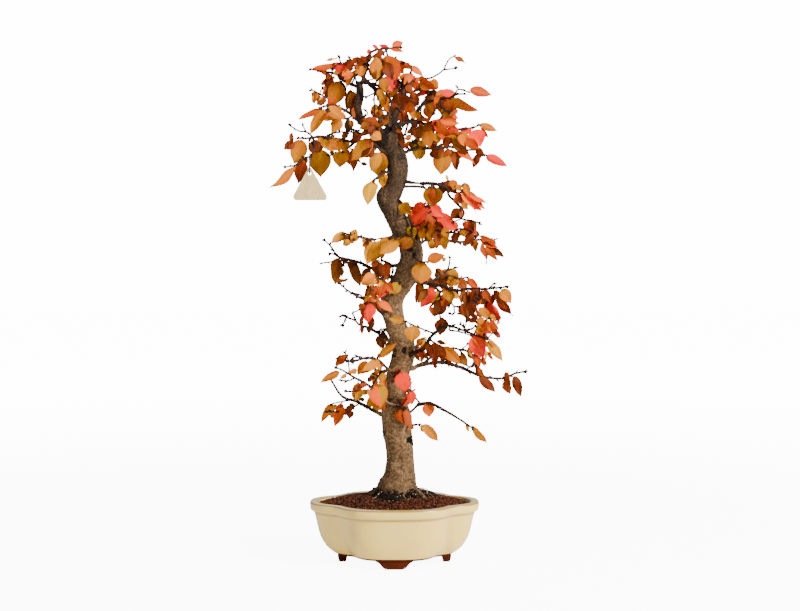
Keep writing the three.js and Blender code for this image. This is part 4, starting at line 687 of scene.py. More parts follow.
class Tree:  # a material's nodes
    def __init__(self, name):
        self.material = bpy.data.materials.new(name)
        self.material.use_nodes = True
        self.nodes = self.material.node_tree.nodes
        self.links = self.material.node_tree.links
        self.surface = self.nodes["Principled BSDF"]

    def set(self, node, key, value):
        if isinstance(value, Wire):
            self.links.new(value.socket, node.inputs[key])
        elif value is not None:
            node.inputs[key].default_value = value

    def add(self, kind, settings={}, inputs={}):
        node = self.nodes.new(kind)
        for key, value in settings.items():
            setattr(node, key, value)
        for key, value in inputs.items():
            self.set(node, key, value)
        return Made(self, node)

    def principled(self, **values):
        for key, value in values.items():
            self.set(self.surface, key.replace("_", " "), value)

    def mix(self, share, a, b, blend="MIX"):  # a colour between two
        a = a if isinstance(a, Wire) else (*a, 1)
        b = b if isinstance(b, Wire) else (*b, 1)
        node = self.add("ShaderNodeMix", {"data_type": "RGBA", "blend_type": blend}, {0: share, 6: a, 7: b})
        return node.out(2)

    def places(self, scale=(1, 1, 1)):  # where a point is, stretched
        spot = self.add("ShaderNodeTexCoord").out("Object")
        return self.add("ShaderNodeVectorMath", {"operation": "MULTIPLY"}, {0: spot, 1: scale}).out()

    def noise(self, spot, scale, detail=4, roughness=0.55):
        inputs = {"Vector": spot, "Scale": scale, "Detail": detail, "Roughness": roughness}
        return self.add("ShaderNodeTexNoise", {}, inputs).out()

    def cells(self, spot, scale, feature="F1"):
        inputs = {"Vector": spot, "Scale": scale}
        return self.add("ShaderNodeTexVoronoi", {"feature": feature}, inputs).out()

    def bump(self, height, strength, distance):
        inputs = {"Height": height, "Strength": strength, "Distance": distance}
        return self.add("ShaderNodeBump", {}, inputs).out()

    def tint(self, name):
        return self.add("ShaderNodeAttribute", {"attribute_name": name}).out("Color")


def ready(piece, slotName, *nodes):  # a finished piece takes the place of its CAD nodes
    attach(piece, "root")
    if nodes:
        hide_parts(*nodes)
    return piece


# Leaves and twigs

leafLook = {
    "rows": 22,
    "columns": 3,  # on each side of the midrib
    "teeth": 0.022,
    "wider": 1.1,  # than in the lists, because the blades curl
    "thickness": 0.3,
    "veins": 11,
    "veinDepth": 0.0003,
    "roughness": 0.5,
    "translucence": 0.12,
}
twigLook = {
    "sides": 7,
    "step": 2.5,
    "thicker": 1.34,
    "color": 0x26140E,
    "budEvery": 10,
    "budLength": 4.6,
    "budRadius": 1.4,
    "budColor": 0x2A140C,
}


def leafMaterial():
    tree = Tree("leaf")
    uv = tree.add("ShaderNodeSeparateXYZ", {}, {0: tree.add("ShaderNodeTexCoord").out("UV")})
    across, along = uv.out(0), uv.out(1)
    rib = (along * leafLook["veins"] - across.abs() * 3.2).fract()
    vein = 1 - ((rib - 0.5).abs() * 2).ramp(0.0, 0.28)
    midrib = 1 - across.abs().ramp(0.02, 0.07)
    lines = vein.most(midrib)
    mottle = tree.noise(tree.places(), 260, 4)
    freckle = tree.noise(tree.places(), 900, 2).ramp(0.66, 0.76)
    base = tree.tint("tint")
    darker = tree.mix(0.45, base, (0.3, 0.07, 0.02), "MULTIPLY")
    color = tree.mix(mottle.ramp(0.5, 0.72) * 0.45, base, darker)
    paler = tree.mix(0.3, base, (0.8, 0.3, 0.0))
    color = tree.mix(lines * 0.2, color, paler)
    color = tree.mix(freckle * 0.5, color, darker)
    height = rib * (1 - rib) * 3 + mottle * 0.4
    tree.principled(
        Base_Color=color,
        Roughness=mottle * 0.25 + (leafLook["roughness"] - 0.12),
        Normal=tree.bump(height, 0.5, leafLook["veinDepth"]),
        Specular_IOR_Level=0.05,
        Subsurface_Weight=leafLook["translucence"],
        Subsurface_Radius=(1.0, 0.45, 0.2),
        Subsurface_Scale=0.001,
    )
    return tree.material


def twigMaterial():
    tree = Tree("twig")
    grain = tree.noise(tree.places(), 700, 4)
    patch = tree.noise(tree.places(), 120, 3)
    base = tree.tint("tint")
    color = tree.mix(patch.ramp(0.45, 0.7) * 0.5, base, (0.06, 0.032, 0.02))
    color = tree.mix(grain.ramp(0.6, 0.75) * 0.4, color, (0.13, 0.08, 0.05))
    tree.principled(
        Base_Color=color,
        Roughness=grain * 0.2 + 0.65,
        Normal=tree.bump(grain, 0.6, 0.0004),
        Specular_IOR_Level=0.1,
    )
    return tree.material


def bladeWidth(share):  # half the blade's width along it, as a share of the widest
    return math.sin(math.pi * share ** 0.74) ** 0.82 * (1 - 0.28 * smooth(0.72, 1, share))


def addLeaf(pile, shape, tint, rng):
    root, base, tip = shape["root"], shape["base"], shape["tip"]
    along = tip - base
    length = along.length
    along.normalize()
    facing = (Vector((0, -1, 0)) + along * along.y).normalized()
    across = facing.cross(along)
    across.rotate(Matrix.Rotation(shape["turn"], 3, along))
    normal = along.cross(across)
    rows, columns = leafLook["rows"] if length > 13 else 12, leafLook["columns"]
    dry = shape["dry"]
    half = shape["width"] / 2
    wavePhase, twist = rng.uniform(0, 6), rng.uniform(-0.5, 0.5) * (0.5 + dry)
    roll = rng.uniform(0.1, 0.35) + 0.9 * dry * rng.random()
    top, bottom, tints, spots = [], [], [], []
    for i in range(rows + 1):
        share = i / rows
        wide = half * bladeWidth(share)
        turned = twist * share
        sideways = across * math.cos(turned) + normal * math.sin(turned)
        lifted = normal * math.cos(turned) - across * math.sin(turned)
        for j in range(-columns, columns + 1):
            u = j / columns
            tooth = 1 + leafLook["teeth"] * ((-1) ** i if abs(j) == columns and 0 < i < rows else 0)
            cup = u * roll * 1.2
            s = wide * tooth * (math.sin(cup) / (roll * 1.2))
            lift = shape["fold"] * abs(s) * share - wide * (1 - math.cos(cup)) * 0.9
            wave = math.sin(share * 8 + wavePhase + (2 if j > 0 else 0))
            lift += 0.05 * length * wave * u * u * (0.5 + dry)
            lift -= shape["curl"] * length * share * share
            place = base + along * (share * length) + sideways * s + lifted * lift
            thick = leafLook["thickness"] / 2 * (0 if abs(j) == columns or i in (0, rows) else 1)
            top.append(place + lifted * thick)
            bottom.append(place - lifted * thick)
            edge = abs(u) ** 3 * smooth(0.1, 0.5, share)
            flush = shape["flushed"] * (share if shape["fromTip"] else 1 - share) ** 1.5
            own = shape.get("right", tint) if j > 0 else tint
            # the two halves are scaled by shape's sides: painted fold shade on the darker half
            here = lerp(own, shape["flush"], flush) * (shape["sides"][j > 0] if j else 1)
            tints.append(lerp(here, here * shape["edge"], edge * 0.8 + 0.5 * shape["tipDark"] * share ** 3))
            spots.append((u, share))
    wideCount = 2 * columns + 1
    total = len(top)
    faces = []
    for i in range(rows):
        for j in range(wideCount - 1):
            a = i * wideCount + j
            quad = (a, a + 1, a + wideCount + 1, a + wideCount)
            faces.append(quad)
            faces.append(tuple(total + k for k in reversed(quad)))
    pile.leafPoints.extend(top)
    pile.add(top + bottom, faces, 1, tints + tints, spots + spots)
    sagging = root.lerp(base, 0.5) + Vector((0, 0, 0.6))
    stalkLine, _ = evenly([root, sagging, base, base + along * 0.12 * length], 2)
    stalkTint = tint * 0.5 + linear(0x8A2A20) * 0.3
    radii = [0.6 - 0.25 * i / (len(stalkLine) - 1) for i in range(len(stalkLine))]
    tube(pile, stalkLine, radii, 5, 0, stalkTint)


def addBud(pile, place, direction, rng):
    long, fat = twigLook["budLength"] * rng.uniform(0.7, 1.25), twigLook["budRadius"] * rng.uniform(0.8, 1.2)
    line = [place + direction * (long * k) for k in (-0.1, 0.15, 0.45, 0.75, 1)]
    shade = linear(twigLook["budColor"]) * rng.uniform(0.6, 1.3)
    tube(pile, line, [fat * 0.5, fat * 0.95, fat, fat * 0.6, fat * 0.08], 6, 0, shade)


def addTwig(pile, points, radii, rng, buds=True, color=twigLook["color"]):
    line, shares = evenly(curveThrough(points), twigLook["step"])
    count = len(line)
    phase = rng.uniform(0, 6)

    def beat(i):  # 1 at each bud and -1 between two
        return math.sin(i * twigLook["step"] / twigLook["budEvery"] * 2 * math.pi + phase)

    radius = []
    for i, share in enumerate(shares):
        swell = 1 + 0.22 * max(0, beat(i)) ** 6
        radius.append(lerp(radii[0], radii[1], share) * twigLook["thicker"] * swell)
        if 0 < i < count - 1:
            line[i] = line[i] + Vector([rng.uniform(-0.16, 0.16) for _ in range(3)])
    tube(pile, line, radius, twigLook["sides"], 0, linear(color) * rng.uniform(0.8, 1.25), 0.25)
    if buds:
        frames = framesAlong(line)
        side = 1
        for i in range(3, count - 1):
            if beat(i) > 0.86:
                across, up, ahead = frames[i]
                angle = rng.uniform(-0.6, 0.6) + (0 if side > 0 else math.pi)
                out = across * math.cos(angle) + up * math.sin(angle)
                addBud(pile, line[i] + out * radius[i] * 0.6, (out * 0.8 + ahead).normalized(), rng)
                side = -side
    end = (line[-1] - line[-2]).normalized()
    for _ in range(3):
        lean = Vector([rng.uniform(-0.7, 0.7) for _ in range(3)])
        addBud(pile, line[-1] - end * rng.uniform(0.5, 3), (end + lean).normalized(), rng)
    return line


def grownFromRule(spray, index):  # as in the part's source
    draw = drawsFrom(100 + index)
    x0, z0, y0 = spray["from"]
    x1, z1, y1 = spray["to"]
    leaves = []
    for step, hue in enumerate(spray["hues"]):
        share = 0.45 + 0.25 * step
        side = 1 if step % 2 else -1
        x, z = lerp(x0, x1, share), lerp(z0, z1, share)
        tipX = x + side * (12 + 8 * draw())
        tipZ = z - 10 - 12 * draw()
        leaves.append([x + side * 3, z - 2, tipX, tipZ, 9 + 8 * draw(), hue, lerp(y0, y1, share)])
    knee = [x0 + (x1 - x0) * 0.5 + 4, z0 + (z1 - z0) * 0.4]
    wood = [{"r": [2.2, 0.9], "y": [y0, y1], "line": [[x0, z0], knee, [x1, z1]]}]
    return {"name": spray["name"], "wood": wood, "leaves": leaves}


leanSteps = [0, 0.3, -0.3, 0.6, -0.6, 0.9, -0.9, 1.3, -1.3]
dryHues = {"brown": 0.8, "red_brown": 0.6, "dark_brown": 1, "rust": 0.45, "tan": 0.4}


def leafShape(paths, leaf, draws, step):
    x, z, tipX, tipZ, width, hue = leaf[:6]
    width *= leafLook["wider"]
    root = nearestOn(paths, x, z, leaf[6] if len(leaf) > 6 else None)
    base = seen(x, z, root.y)
    lean = 0.7 * (draws[0] - 0.5) + step
    tip = seen(tipX, tipZ, root.y + lean * math.hypot(tipX - x, tipZ - z))
    trueWidth = max(width, 0.44 * (tip - base).length)
    turn = math.copysign(math.acos(width / trueWidth), draws[1] - 0.5)
    return {
        "root": root, "base": base, "tip": tip, "width": trueWidth, "turn": turn,
        "curl": 0.3 * (draws[2] - 0.35), "fold": 0.25 + 0.3 * draws[3], "dry": dryHues.get(hue, 0),
    }


def packedSurface(name):
    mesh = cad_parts[name].data
    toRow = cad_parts[name].matrix_world
    points = [(toRow @ v.co - origin) / mm for v in mesh.vertices]
    return BVHTree.FromPolygons(points, [tuple(p.vertices) for p in mesh.polygons])


rightHalves = {("spray_left_low_front", 6): "yellow_orange"}  # the other colour of a leaf of two colours
flushes = {  # the hue that a leaf turns to at its tip or base
    "coral": "rose", "rose": "coral", "salmon": "yellow_orange", "orange": "yellow_orange",
    "bright_orange": "orange", "orange_red": "ochre", "ochre": "yellow_orange", "yellow_orange": "ochre",
    "tan": "ochre", "peach": "orange", "brown": "ochre", "rust": "orange_red", "red_brown": "rust",
    "dark_brown": "rust", "pale_yellow": "yellow_orange",
}
leafTints = {  # linear base colours that show as the list's hues in this light
    "coral": (0.7, 0.018, 0.002),
    "rose": (0.6, 0.009, 0.016),
    "salmon": (0.58, 0.058, 0.0),
    "orange": (0.45, 0.108, 0.0),
    "bright_orange": (0.54, 0.155, 0.0),
    "orange_red": (0.42, 0.036, 0.0),
    "ochre": (0.32, 0.098, 0.0),
    "yellow_orange": (0.5, 0.195, 0.0),
    "pale_yellow": (0.64, 0.34, 0.0),
    "tan": (0.54, 0.19, 0.008),
    "peach": (0.56, 0.165, 0.0),
    "brown": (0.105, 0.02, 0.002),
    "red_brown": (0.1, 0.012, 0.003),
    "rust": (0.17, 0.026, 0.003),
    "dark_brown": (0.06, 0.008, 0.001),
}


# Leaves that fill the sprays out, by hue: base x and z, tip x and z, width and, before the trunk, their depth
moreLeaves = {
    "bright_orange": [
        [-50, 621, -35, 632, 12], [84, 545, 90, 529, 10], [-49, 423, -58, 406, 10], [49, 616, 56, 603, 8],
        [105, 301, 111, 297, 6], [-19, 231, -13, 224, 8],
    ],
    "salmon": [
        [-57, 627, -68, 619, 9], [22, 622, 12, 609, 9], [-79, 632, -105, 628, 9], [58, 564, 82, 558, 10],
        [53, 561, 73, 541, 10], [21, 536, 12, 529, 5], [45, 562, 22, 564, 5], [86, 469, 103, 451, 9],
        [84, 474, 117, 453, 8], [118, 267, 127, 256, 5], [122, 307, 134, 295, 6], [-65, 196, -75, 173, 8],
        [-89, 610, -95, 609, 4], [96, 345, 94, 338, 4], [134, 307, 131, 301, 4],
    ],
    "coral": [
        [39, 452, 25, 457, 5], [39, 456, 21, 446, 12], [-58, 632, -75, 626, 10], [27, 619, 15, 614, 6],
        [48, 563, 66, 545, 12], [68, 556, 84, 547, 9], [12, 530, 20, 526, 5], [88, 466, 112, 447, 8],
        [118, 328, 136, 307, 12], [99, 550, 82, 547, 8], [-21, 339, -19, 333, 4], [-25, 323, -26, 313, 4],
        [116, 292, 126, 291, 4], [98, 276, 96, 268, 4], [20, 231, 13, 217, 8],
    ],
    "orange_red": [
        [-54, 625, -65, 614, 8], [-75, 591, -86, 580, 12], [-12, 645, 3, 614, 22], [6, 639, 10, 622, 10],
        [53, 594, 66, 576, 14], [66, 550, 73, 539, 9], [79, 470, 85, 457, 10], [-15, 356, -19, 337, 10],
        [-13, 355, -1, 343, 10], [105, 261, 108, 246, 10], [6, 627, 4, 616, 6], [33, 617, 26, 612, 5],
        [91, 538, 109, 526, 12], [109, 415, 126, 408, 6], [125, 410, 130, 403, 5], [-35, 402, -40, 401, 4],
        [107, 263, 111, 259, 5],
    ],
    "red_brown": [
        [127, 394, 140, 387, 5], [-42, 632, -48, 644, 9], [15, 619, 11, 602, 10], [-63, 637, -54, 640, 6],
        [-24, 556, -35, 547, 9], [-43, 508, -34, 506, 5], [-65, 539, -58, 548, 5], [102, 420, 90, 402, 10],
        [114, 406, 139, 388, 10], [-75, 356, -58, 359, 6], [-13, 371, -6, 360, 9], [-31, 318, -30, 292, 8],
        [109, 346, 98, 329, 15], [96, 330, 102, 302, 9], [67, 259, 73, 247, 6], [53, 272, 62, 267, 8],
        [-13, 651, -33, 642, 8], [-54, 636, -68, 635, 5], [-54, 640, -58, 626, 9], [-42, 541, -57, 538, 8],
        [26, 561, 27, 552, 8], [107, 518, 100, 502, 10], [104, 529, 114, 517, 6], [66, 485, 67, 478, 6],
        [76, 463, 86, 456, 6], [-65, 385, -70, 383, 4], [94, 309, 104, 304, 6], [126, 341, 126, 327, 6],
        [53, 251, 52, 245, 5], [81, 264, 82, 251, 5], [13, 215, 16, 205, 4],
    ],
    "rust": [
        [-21, 561, -42, 564, 10], [-36, 637, -44, 646, 8], [-81, 614, -88, 590, 13],
        [-48, 595, -54, 576, 8], [-8, 640, -4, 617, 14], [22, 600, 29, 580, 10], [76, 644, 94, 637, 6],
        [17, 609, 21, 595, 9], [2, 584, -4, 573, 9], [67, 589, 73, 573, 12], [-131, 547, -132, 529, 6],
        [-53, 547, -42, 541, 6], [70, 526, 65, 516, 9], [21, 556, 33, 535, 9], [40, 538, 30, 525, 9],
        [-54, 563, -61, 547, 9], [-36, 538, -29, 527, 8], [24, 553, 15, 545, 6], [47, 476, 50, 453, 10],
        [21, 411, 10, 397, 13, -30], [48, 437, 50, 411, 9], [56, 410, 53, 400, 6], [63, 410, 65, 397, 10],
        [112, 407, 118, 380, 8], [117, 402, 130, 384, 9], [40, 443, 50, 431, 8], [91, 433, 104, 424, 10],
        [-25, 327, -44, 322, 9], [-40, 318, -43, 292, 6], [-24, 351, -26, 334, 8], [114, 346, 123, 329, 10],
        [31, 355, 27, 329, 9], [50, 279, 52, 246, 10], [62, 272, 59, 256, 10], [112, 261, 116, 247, 6],
        [142, 241, 145, 214, 10], [45, 325, 50, 313, 6], [131, 343, 144, 319, 12], [31, 267, 38, 255, 5],
        [-42, 224, -50, 215, 6], [-21, 206, -11, 192, 9], [12, 194, 22, 168, 8, -24],
        [-50, 635, -45, 628, 6], [-89, 607, -90, 594, 4], [-85, 573, -91, 564, 6], [-53, 579, -52, 564, 5],
        [13, 636, 21, 628, 8], [25, 584, 13, 573, 13], [38, 579, 45, 564, 8], [81, 576, 70, 568, 6],
        [31, 558, 38, 552, 6], [80, 517, 79, 499, 6], [86, 524, 95, 520, 5], [73, 474, 79, 469, 5],
        [85, 447, 85, 437, 5], [38, 433, 30, 420, 5], [103, 431, 103, 415, 4], [58, 410, 59, 402, 6],
        [88, 407, 90, 401, 4], [-21, 382, -30, 375, 6], [-26, 375, -27, 368, 6], [-20, 360, -24, 352, 5],
        [-30, 343, -27, 334, 4], [53, 373, 62, 370, 4], [59, 348, 70, 346, 5], [80, 351, 88, 348, 5],
        [112, 346, 111, 333, 5], [111, 334, 102, 324, 4], [117, 329, 114, 323, 4], [-40, 329, -45, 320, 8],
        [-4, 279, -13, 272, 6], [-16, 253, -17, 245, 4], [-63, 263, -72, 254, 6], [53, 277, 57, 273, 4],
        [38, 263, 43, 258, 6], [67, 260, 57, 255, 6], [116, 281, 118, 272, 5], [107, 247, 108, 238, 5],
        [22, 172, 24, 167, 4], [-36, 228, -45, 223, 8], [-62, 192, -63, 185, 5], [2, 550, 11, 547, 5, -16],
    ],
    "brown": [
        [-17, 566, -19, 549, 8], [-19, 554, -34, 562, 9], [-89, 593, -96, 581, 9], [-30, 632, -25, 614, 12],
        [49, 595, 43, 564, 15], [-31, 559, -45, 552, 10], [73, 538, 95, 522, 12], [61, 527, 53, 513, 15],
        [38, 558, 47, 549, 12], [-8, 566, -19, 556, 9], [54, 421, 66, 411, 10], [53, 421, 54, 400, 8],
        [104, 410, 102, 397, 9], [35, 424, 33, 410, 9], [-72, 387, -79, 360, 15], [-52, 377, -45, 351, 12],
        [-20, 382, -17, 359, 14], [-30, 370, -43, 364, 5], [-12, 291, -15, 270, 9], [-29, 352, -35, 338, 8],
        [54, 371, 62, 354, 12], [63, 310, 58, 288, 15], [43, 269, 47, 259, 8], [84, 263, 93, 249, 9],
        [86, 329, 94, 305, 9], [96, 318, 109, 306, 6], [56, 332, 50, 311, 9], [45, 278, 40, 267, 8],
        [-50, 626, -54, 616, 8], [-66, 619, -62, 613, 5], [4, 604, -7, 590, 8], [-17, 576, -19, 558, 9],
        [54, 584, 59, 572, 5], [-62, 525, -57, 520, 5], [-12, 495, -20, 489, 4], [21, 536, 21, 525, 5],
        [54, 539, 48, 534, 6], [63, 532, 53, 529, 5], [42, 426, 42, 420, 5], [42, 416, 38, 410, 6],
        [-66, 375, -68, 362, 4], [-34, 374, -43, 361, 8], [-12, 365, -13, 357, 8], [34, 354, 35, 342, 8],
        [54, 359, 70, 350, 6], [94, 359, 91, 350, 4], [89, 346, 85, 328, 9], [93, 323, 96, 305, 6],
        [33, 284, 30, 273, 8], [-20, 265, -19, 258, 5], [-25, 245, -21, 235, 6], [26, 264, 33, 254, 5],
        [-48, 226, -53, 215, 5], [-53, 217, -52, 206, 4],
    ],
    "ochre": [
        [-77, 568, -90, 562, 5], [-71, 582, -75, 566, 10], [-52, 600, -57, 573, 12],
        [-24, 644, -21, 610, 13], [-15, 617, -11, 599, 12], [-21, 602, -13, 589, 9],
        [-76, 538, -95, 539, 9], [-58, 535, -70, 525, 9], [-61, 547, -67, 538, 8], [-21, 522, -30, 497, 15],
        [48, 549, 35, 529, 14], [50, 547, 56, 534, 9], [86, 457, 94, 449, 8], [48, 410, 44, 400, 9],
        [-63, 410, -56, 403, 6], [109, 246, 113, 232, 5], [63, 346, 71, 332, 9], [-29, 240, -24, 227, 9],
        [-13, 240, -17, 228, 8], [-95, 541, -95, 534, 6], [-72, 530, -70, 522, 6], [-58, 405, -66, 403, 5],
        [-8, 412, -20, 408, 5], [80, 360, 77, 350, 8], [-2, 270, -19, 260, 6],
    ],
    "peach": [
        [-62, 567, -79, 573, 8], [-70, 627, -79, 621, 6], [33, 609, 47, 602, 10], [21, 539, 12, 540, 5],
        [-17, 359, -22, 337, 8], [103, 296, 121, 283, 10], [114, 310, 104, 302, 8], [-54, 245, -49, 238, 8],
    ],
    "orange": [
        [-20, 577, -31, 579, 10], [-26, 640, -29, 622, 9], [54, 600, 73, 584, 17], [-3, 609, -8, 594, 12],
        [45, 614, 56, 602, 8], [-67, 536, -88, 525, 13], [33, 566, 22, 576, 9], [71, 486, 80, 472, 12],
        [89, 483, 96, 466, 9], [62, 425, 70, 412, 10], [-25, 365, -42, 355, 13], [61, 273, 85, 251, 14],
        [108, 323, 125, 307, 10], [-19, 255, -42, 242, 12], [-19, 251, -19, 238, 5], [22, 543, 13, 539, 6],
        [80, 481, 85, 472, 8], [-52, 408, -56, 406, 4], [-38, 411, -42, 407, 4], [-38, 365, -42, 352, 6],
        [38, 364, 43, 357, 6], [65, 387, 61, 382, 5], [52, 334, 47, 325, 5], [123, 315, 130, 305, 5],
        [117, 269, 116, 255, 4], [121, 282, 130, 273, 5], [-33, 219, -33, 209, 4],
    ],
    "tan": [
        [-99, 599, -104, 584, 5], [-91, 593, -98, 584, 4], [-24, 359, -30, 350, 6], [-31, 341, -39, 330, 4],
        [39, 286, 33, 273, 6], [94, 270, 98, 260, 4], [-104, 595, -104, 584, 4],
    ],
    "rose": [
        [2, 619, -2, 599, 14], [-33, 648, -35, 653, 4], [77, 433, 82, 425, 4], [132, 293, 135, 283, 4],
    ],
    "dark_brown": [
        [67, 324, 47, 313, 9], [-26, 566, -36, 554, 9], [4, 598, 8, 572, 20], [8, 576, 10, 562, 5],
        [-94, 534, -108, 527, 14], [-31, 527, -44, 516, 13], [45, 529, 56, 534, 8], [85, 448, 71, 438, 13],
        [79, 420, 77, 406, 10], [-61, 379, -48, 377, 10], [-10, 377, -29, 361, 17], [-56, 198, -62, 186, 9],
        [-30, 552, -44, 543, 10], [-109, 535, -104, 518, 8], [73, 539, 59, 531, 10], [53, 430, 54, 424, 6],
        [107, 421, 105, 412, 6], [99, 410, 98, 401, 5], [-3, 366, -6, 359, 4], [-34, 354, -35, 347, 4],
        [-11, 244, -12, 238, 5], [54, 281, 66, 276, 6], [96, 290, 102, 286, 6], [-30, 235, -34, 227, 6],
        [-53, 201, -57, 194, 8], [-43, 208, -39, 203, 6], [6, 549, 12, 527, 9, -14],
    ],
    "yellow_orange": [
        [27, 540, 29, 511, 13], [7, 410, -20, 396, 17, -30], [-11, 408, -35, 382, 18],
    ],
}

# Bare twigs: x and z of their points, and the depth and colour of the one that crosses the trunk
moreTwigs = [
    {"line": [[-40, 593], [-29, 596], [-15, 604]], "color": 0x6E5238},
    {"line": [[-43, 613], [-34, 614], [-25, 616]]},
    {"line": [[-33, 608], [-26, 602], [-21, 591], [-18, 581]]},
    {"line": [[7, 609], [6, 602], [-2, 594]]},
    {"line": [[-86, 543], [-75, 547], [-63, 548], [-54, 548]]},
    {"line": [[12, 596], [19, 598], [21, 591]]},
    {"line": [[34, 580], [34, 571], [36, 566]]},
    {"line": [[47, 568], [52, 576], [54, 582]]},
    {"line": [[56, 433], [50, 440], [45, 446]]},
    {"line": [[29, 428], [38, 434]]},
    {"line": [[-70, 388], [-79, 392], [-84, 392]]},
    {"line": [[-42, 338], [-48, 341], [-54, 342]]},
    {"line": [[-48, 304], [-52, 313], [-54, 316], [-48, 319], [-43, 322]]},
    {"line": [[-57, 309], [-63, 314], [-68, 313]]},
    {"line": [[-62, 310], [-66, 301]]},
    {"line": [[-8, 295], [-15, 293], [-20, 291]]},
    {"line": [[-42, 260], [-49, 260], [-54, 258]]},
    {"line": [[-44, 257], [-49, 255], [-53, 254]]},
    {"line": [[70, 295], [81, 293], [91, 290], [99, 287]]},
    {"line": [[94, 293], [89, 297], [85, 302]]},
    {"line": [[91, 295], [98, 296], [104, 300]]},
    {"line": [[88, 270], [93, 267], [97, 262]]},
    {"line": [[121, 348], [127, 354]]},
    {
        "line": [
            [-45, 621], [-36, 614], [-25, 604], [-13, 595], [-4, 587], [-5, 577], [-11, 568], [-16, 561],
        ],
        "radii": [1.5, 1.1],
    },
    {"line": [[-27, 609], [-21, 595], [-17, 577], [-15, 564]], "radii": [1.2, 1.2]},
    {"line": [[42, 594], [30, 577], [18, 559], [13, 545]], "radii": [1.2, 1.1]},
    {"line": [[22, 612], [15, 601], [12, 594]], "radii": [1.3, 0.9]},
    {"line": [[80, 254], [90, 250], [99, 247]]},
    {"line": [[-57, 553], [-49, 549], [-42, 545]], "radii": [1.6, 1.3]},
    {"line": [[-40, 566], [-34, 572], [-38, 576]]},
    {"line": [[-46, 609], [-50, 617], [-48, 621]]},
    {"line": [[-70, 614], [-63, 604], [-62, 594]]},
    {
        "line": [[-14, 205], [-7, 201], [1, 199], [10, 198], [18, 200], [22, 204]],
        "depth": -21,
        "color": 0x7E6248,
    },
]

fillLook = {"crownFrom": 480, "inCrown": 9, "below": 4, "length": (14, 24), "widthShare": (0.5, 0.68)}


def growWood(spray):  # the smooth lines of a spray's twigs
    spray["rng"] = random.Random(spray["name"])
    spray["pile"] = Pile()
    spray["paths"] = []
    for part in spray["wood"]:
        points = placed(part)
        if spray["paths"]:
            points[0] = nearestOn(spray["paths"], *part["line"][0])
        spray["paths"].append(addTwig(spray["pile"], points, part["r"], spray["rng"]))


def leafTint(hue, rng):
    return np.array(leafTints[hue]) * [rng.uniform(0.85, 1.1), rng.uniform(0.8, 1.2), rng.uniform(0.7, 1.3)]


def finish(shape, hue, rng):  # how the colour goes over the leaf
    shape["flush"] = leafTint(flushes[hue], rng)
    shape["flushed"] = rng.uniform(0, 1) ** 1.5 * 0.9
    shape["fromTip"] = rng.random() < 0.5
    # one half of the blade, on a random side of the midrib, is made darker: painted shade of the fold
    shape["sides"] = [rng.uniform(0.62, 1.05), rng.uniform(0.85, 1.15)]
    rng.shuffle(shape["sides"])
    shape["edge"] = np.array([rng.uniform(0.7, 1.05), rng.uniform(0.4, 0.9), rng.uniform(0.4, 0.9)])
    shape["tipDark"] = rng.uniform(0, 1)
    return shape


def addListedLeaves(spray, drawLeaf):
    surface = packedSurface(spray["name"])
    for number, leaf in enumerate(spray["leaves"]):
        draws = [drawLeaf() for _ in range(4)]
        shapes = [leafShape(spray["paths"], leaf, draws, step) for step in leanSteps]

        def awayFromPart(shape):
            spots = [shape["base"].lerp(shape["tip"], share) for share in (0.35, 0.7, 1)]
            return sum(surface.find_nearest(spot)[3] for spot in spots)

        shape = min(shapes, key=awayFromPart)
        finish(shape, leaf[5], spray["rng"])
        if (spray["name"], number) in rightHalves:
            shape["right"] = leafTint(rightHalves[(spray["name"], number)], spray["rng"])
            shape["flushed"] = 0.1
        addLeaf(spray["pile"], shape, leafTint(leaf[5], spray["rng"]), spray["rng"])


def inView(place):  # where a point shows, as x and z of the lists
    spread = 1 + place.y / viewDistance
    return np.array((place.x / spread, eyeHeight + (place.z - eyeHeight) / spread))


def nearestInView(wood, x, z):  # the spray's wood that shows nearest to a place
    nearest = np.argmin(((wood["seen"] - (x, z)) ** 2).sum(axis=1))
    return wood["points"][nearest], wood["sprays"][nearest]


def addMoreTwig(twig, wood):
    root, spray = nearestInView(wood, *twig["line"][0])
    rng = spray["rng"]
    depth = twig.get("depth", root.y)
    points = [root]
    for x, z in twig["line"]:
        points.append(seen(x, z, depth))
        depth -= 0 if "depth" in twig else rng.uniform(0, 3)
    radii, color = twig.get("radii", [1.1, 0.7]), twig.get("color", twigLook["color"])
    addTwig(spray["pile"], points, radii, rng, "depth" not in twig, color)


def addMoreLeaf(leaf, hue, wood):  # hangs a leaf on the twig that shows nearest to its base
    x, z, tipX, tipZ, width = leaf[:5]
    width *= leafLook["wider"]
    root, spray = nearestInView(wood, x, z)
    rng = spray["rng"]
    long = math.hypot(tipX - x, tipZ - z)
    depth = leaf[5] if len(leaf) > 5 else root.y - rng.uniform(1, 7)
    base = seen(x, z, depth)
    reach = base - root
    if reach.length > 8:
        middle = root + reach * 0.5 + Vector((0, 0, 0.12 * reach.length))
        end = root + reach * (1 - 4 / reach.length)
        addTwig(spray["pile"], [root, middle, end], [0.8, 0.55], rng, False)
        addBud(spray["pile"], end, reach.normalized(), rng)
        root = end
    tip = seen(tipX, tipZ, depth + long * rng.uniform(-0.4, 0.3))
    trueWidth = max(width, 0.46 * (tip - base).length)
    shape = {
        "root": root, "base": base, "tip": tip, "width": trueWidth,
        "turn": rng.choice((-1, 1)) * math.acos(min(1, width / trueWidth)),
        "curl": rng.uniform(-0.1, 0.2), "fold": rng.uniform(0.15, 0.5), "dry": dryHues.get(hue, 0),
    }
    addLeaf(spray["pile"], finish(shape, hue, rng), leafTint(hue, rng), rng)


def trunkAt(z):  # the trunk's middle, its depth and its radius at a height
    return (np.interp(z, trunkHeights, values) for values in trunkColumns)


trunkHeights, *trunkColumns = ([ring[key] for ring in trunkLine] for key in ("z", "x", "y", "r"))


farAway = 1e6


def cellOf(x, z):  # the cell of the front view, 3 mm wide, that a point shows in
    return round(x / 3), round(z / 3)


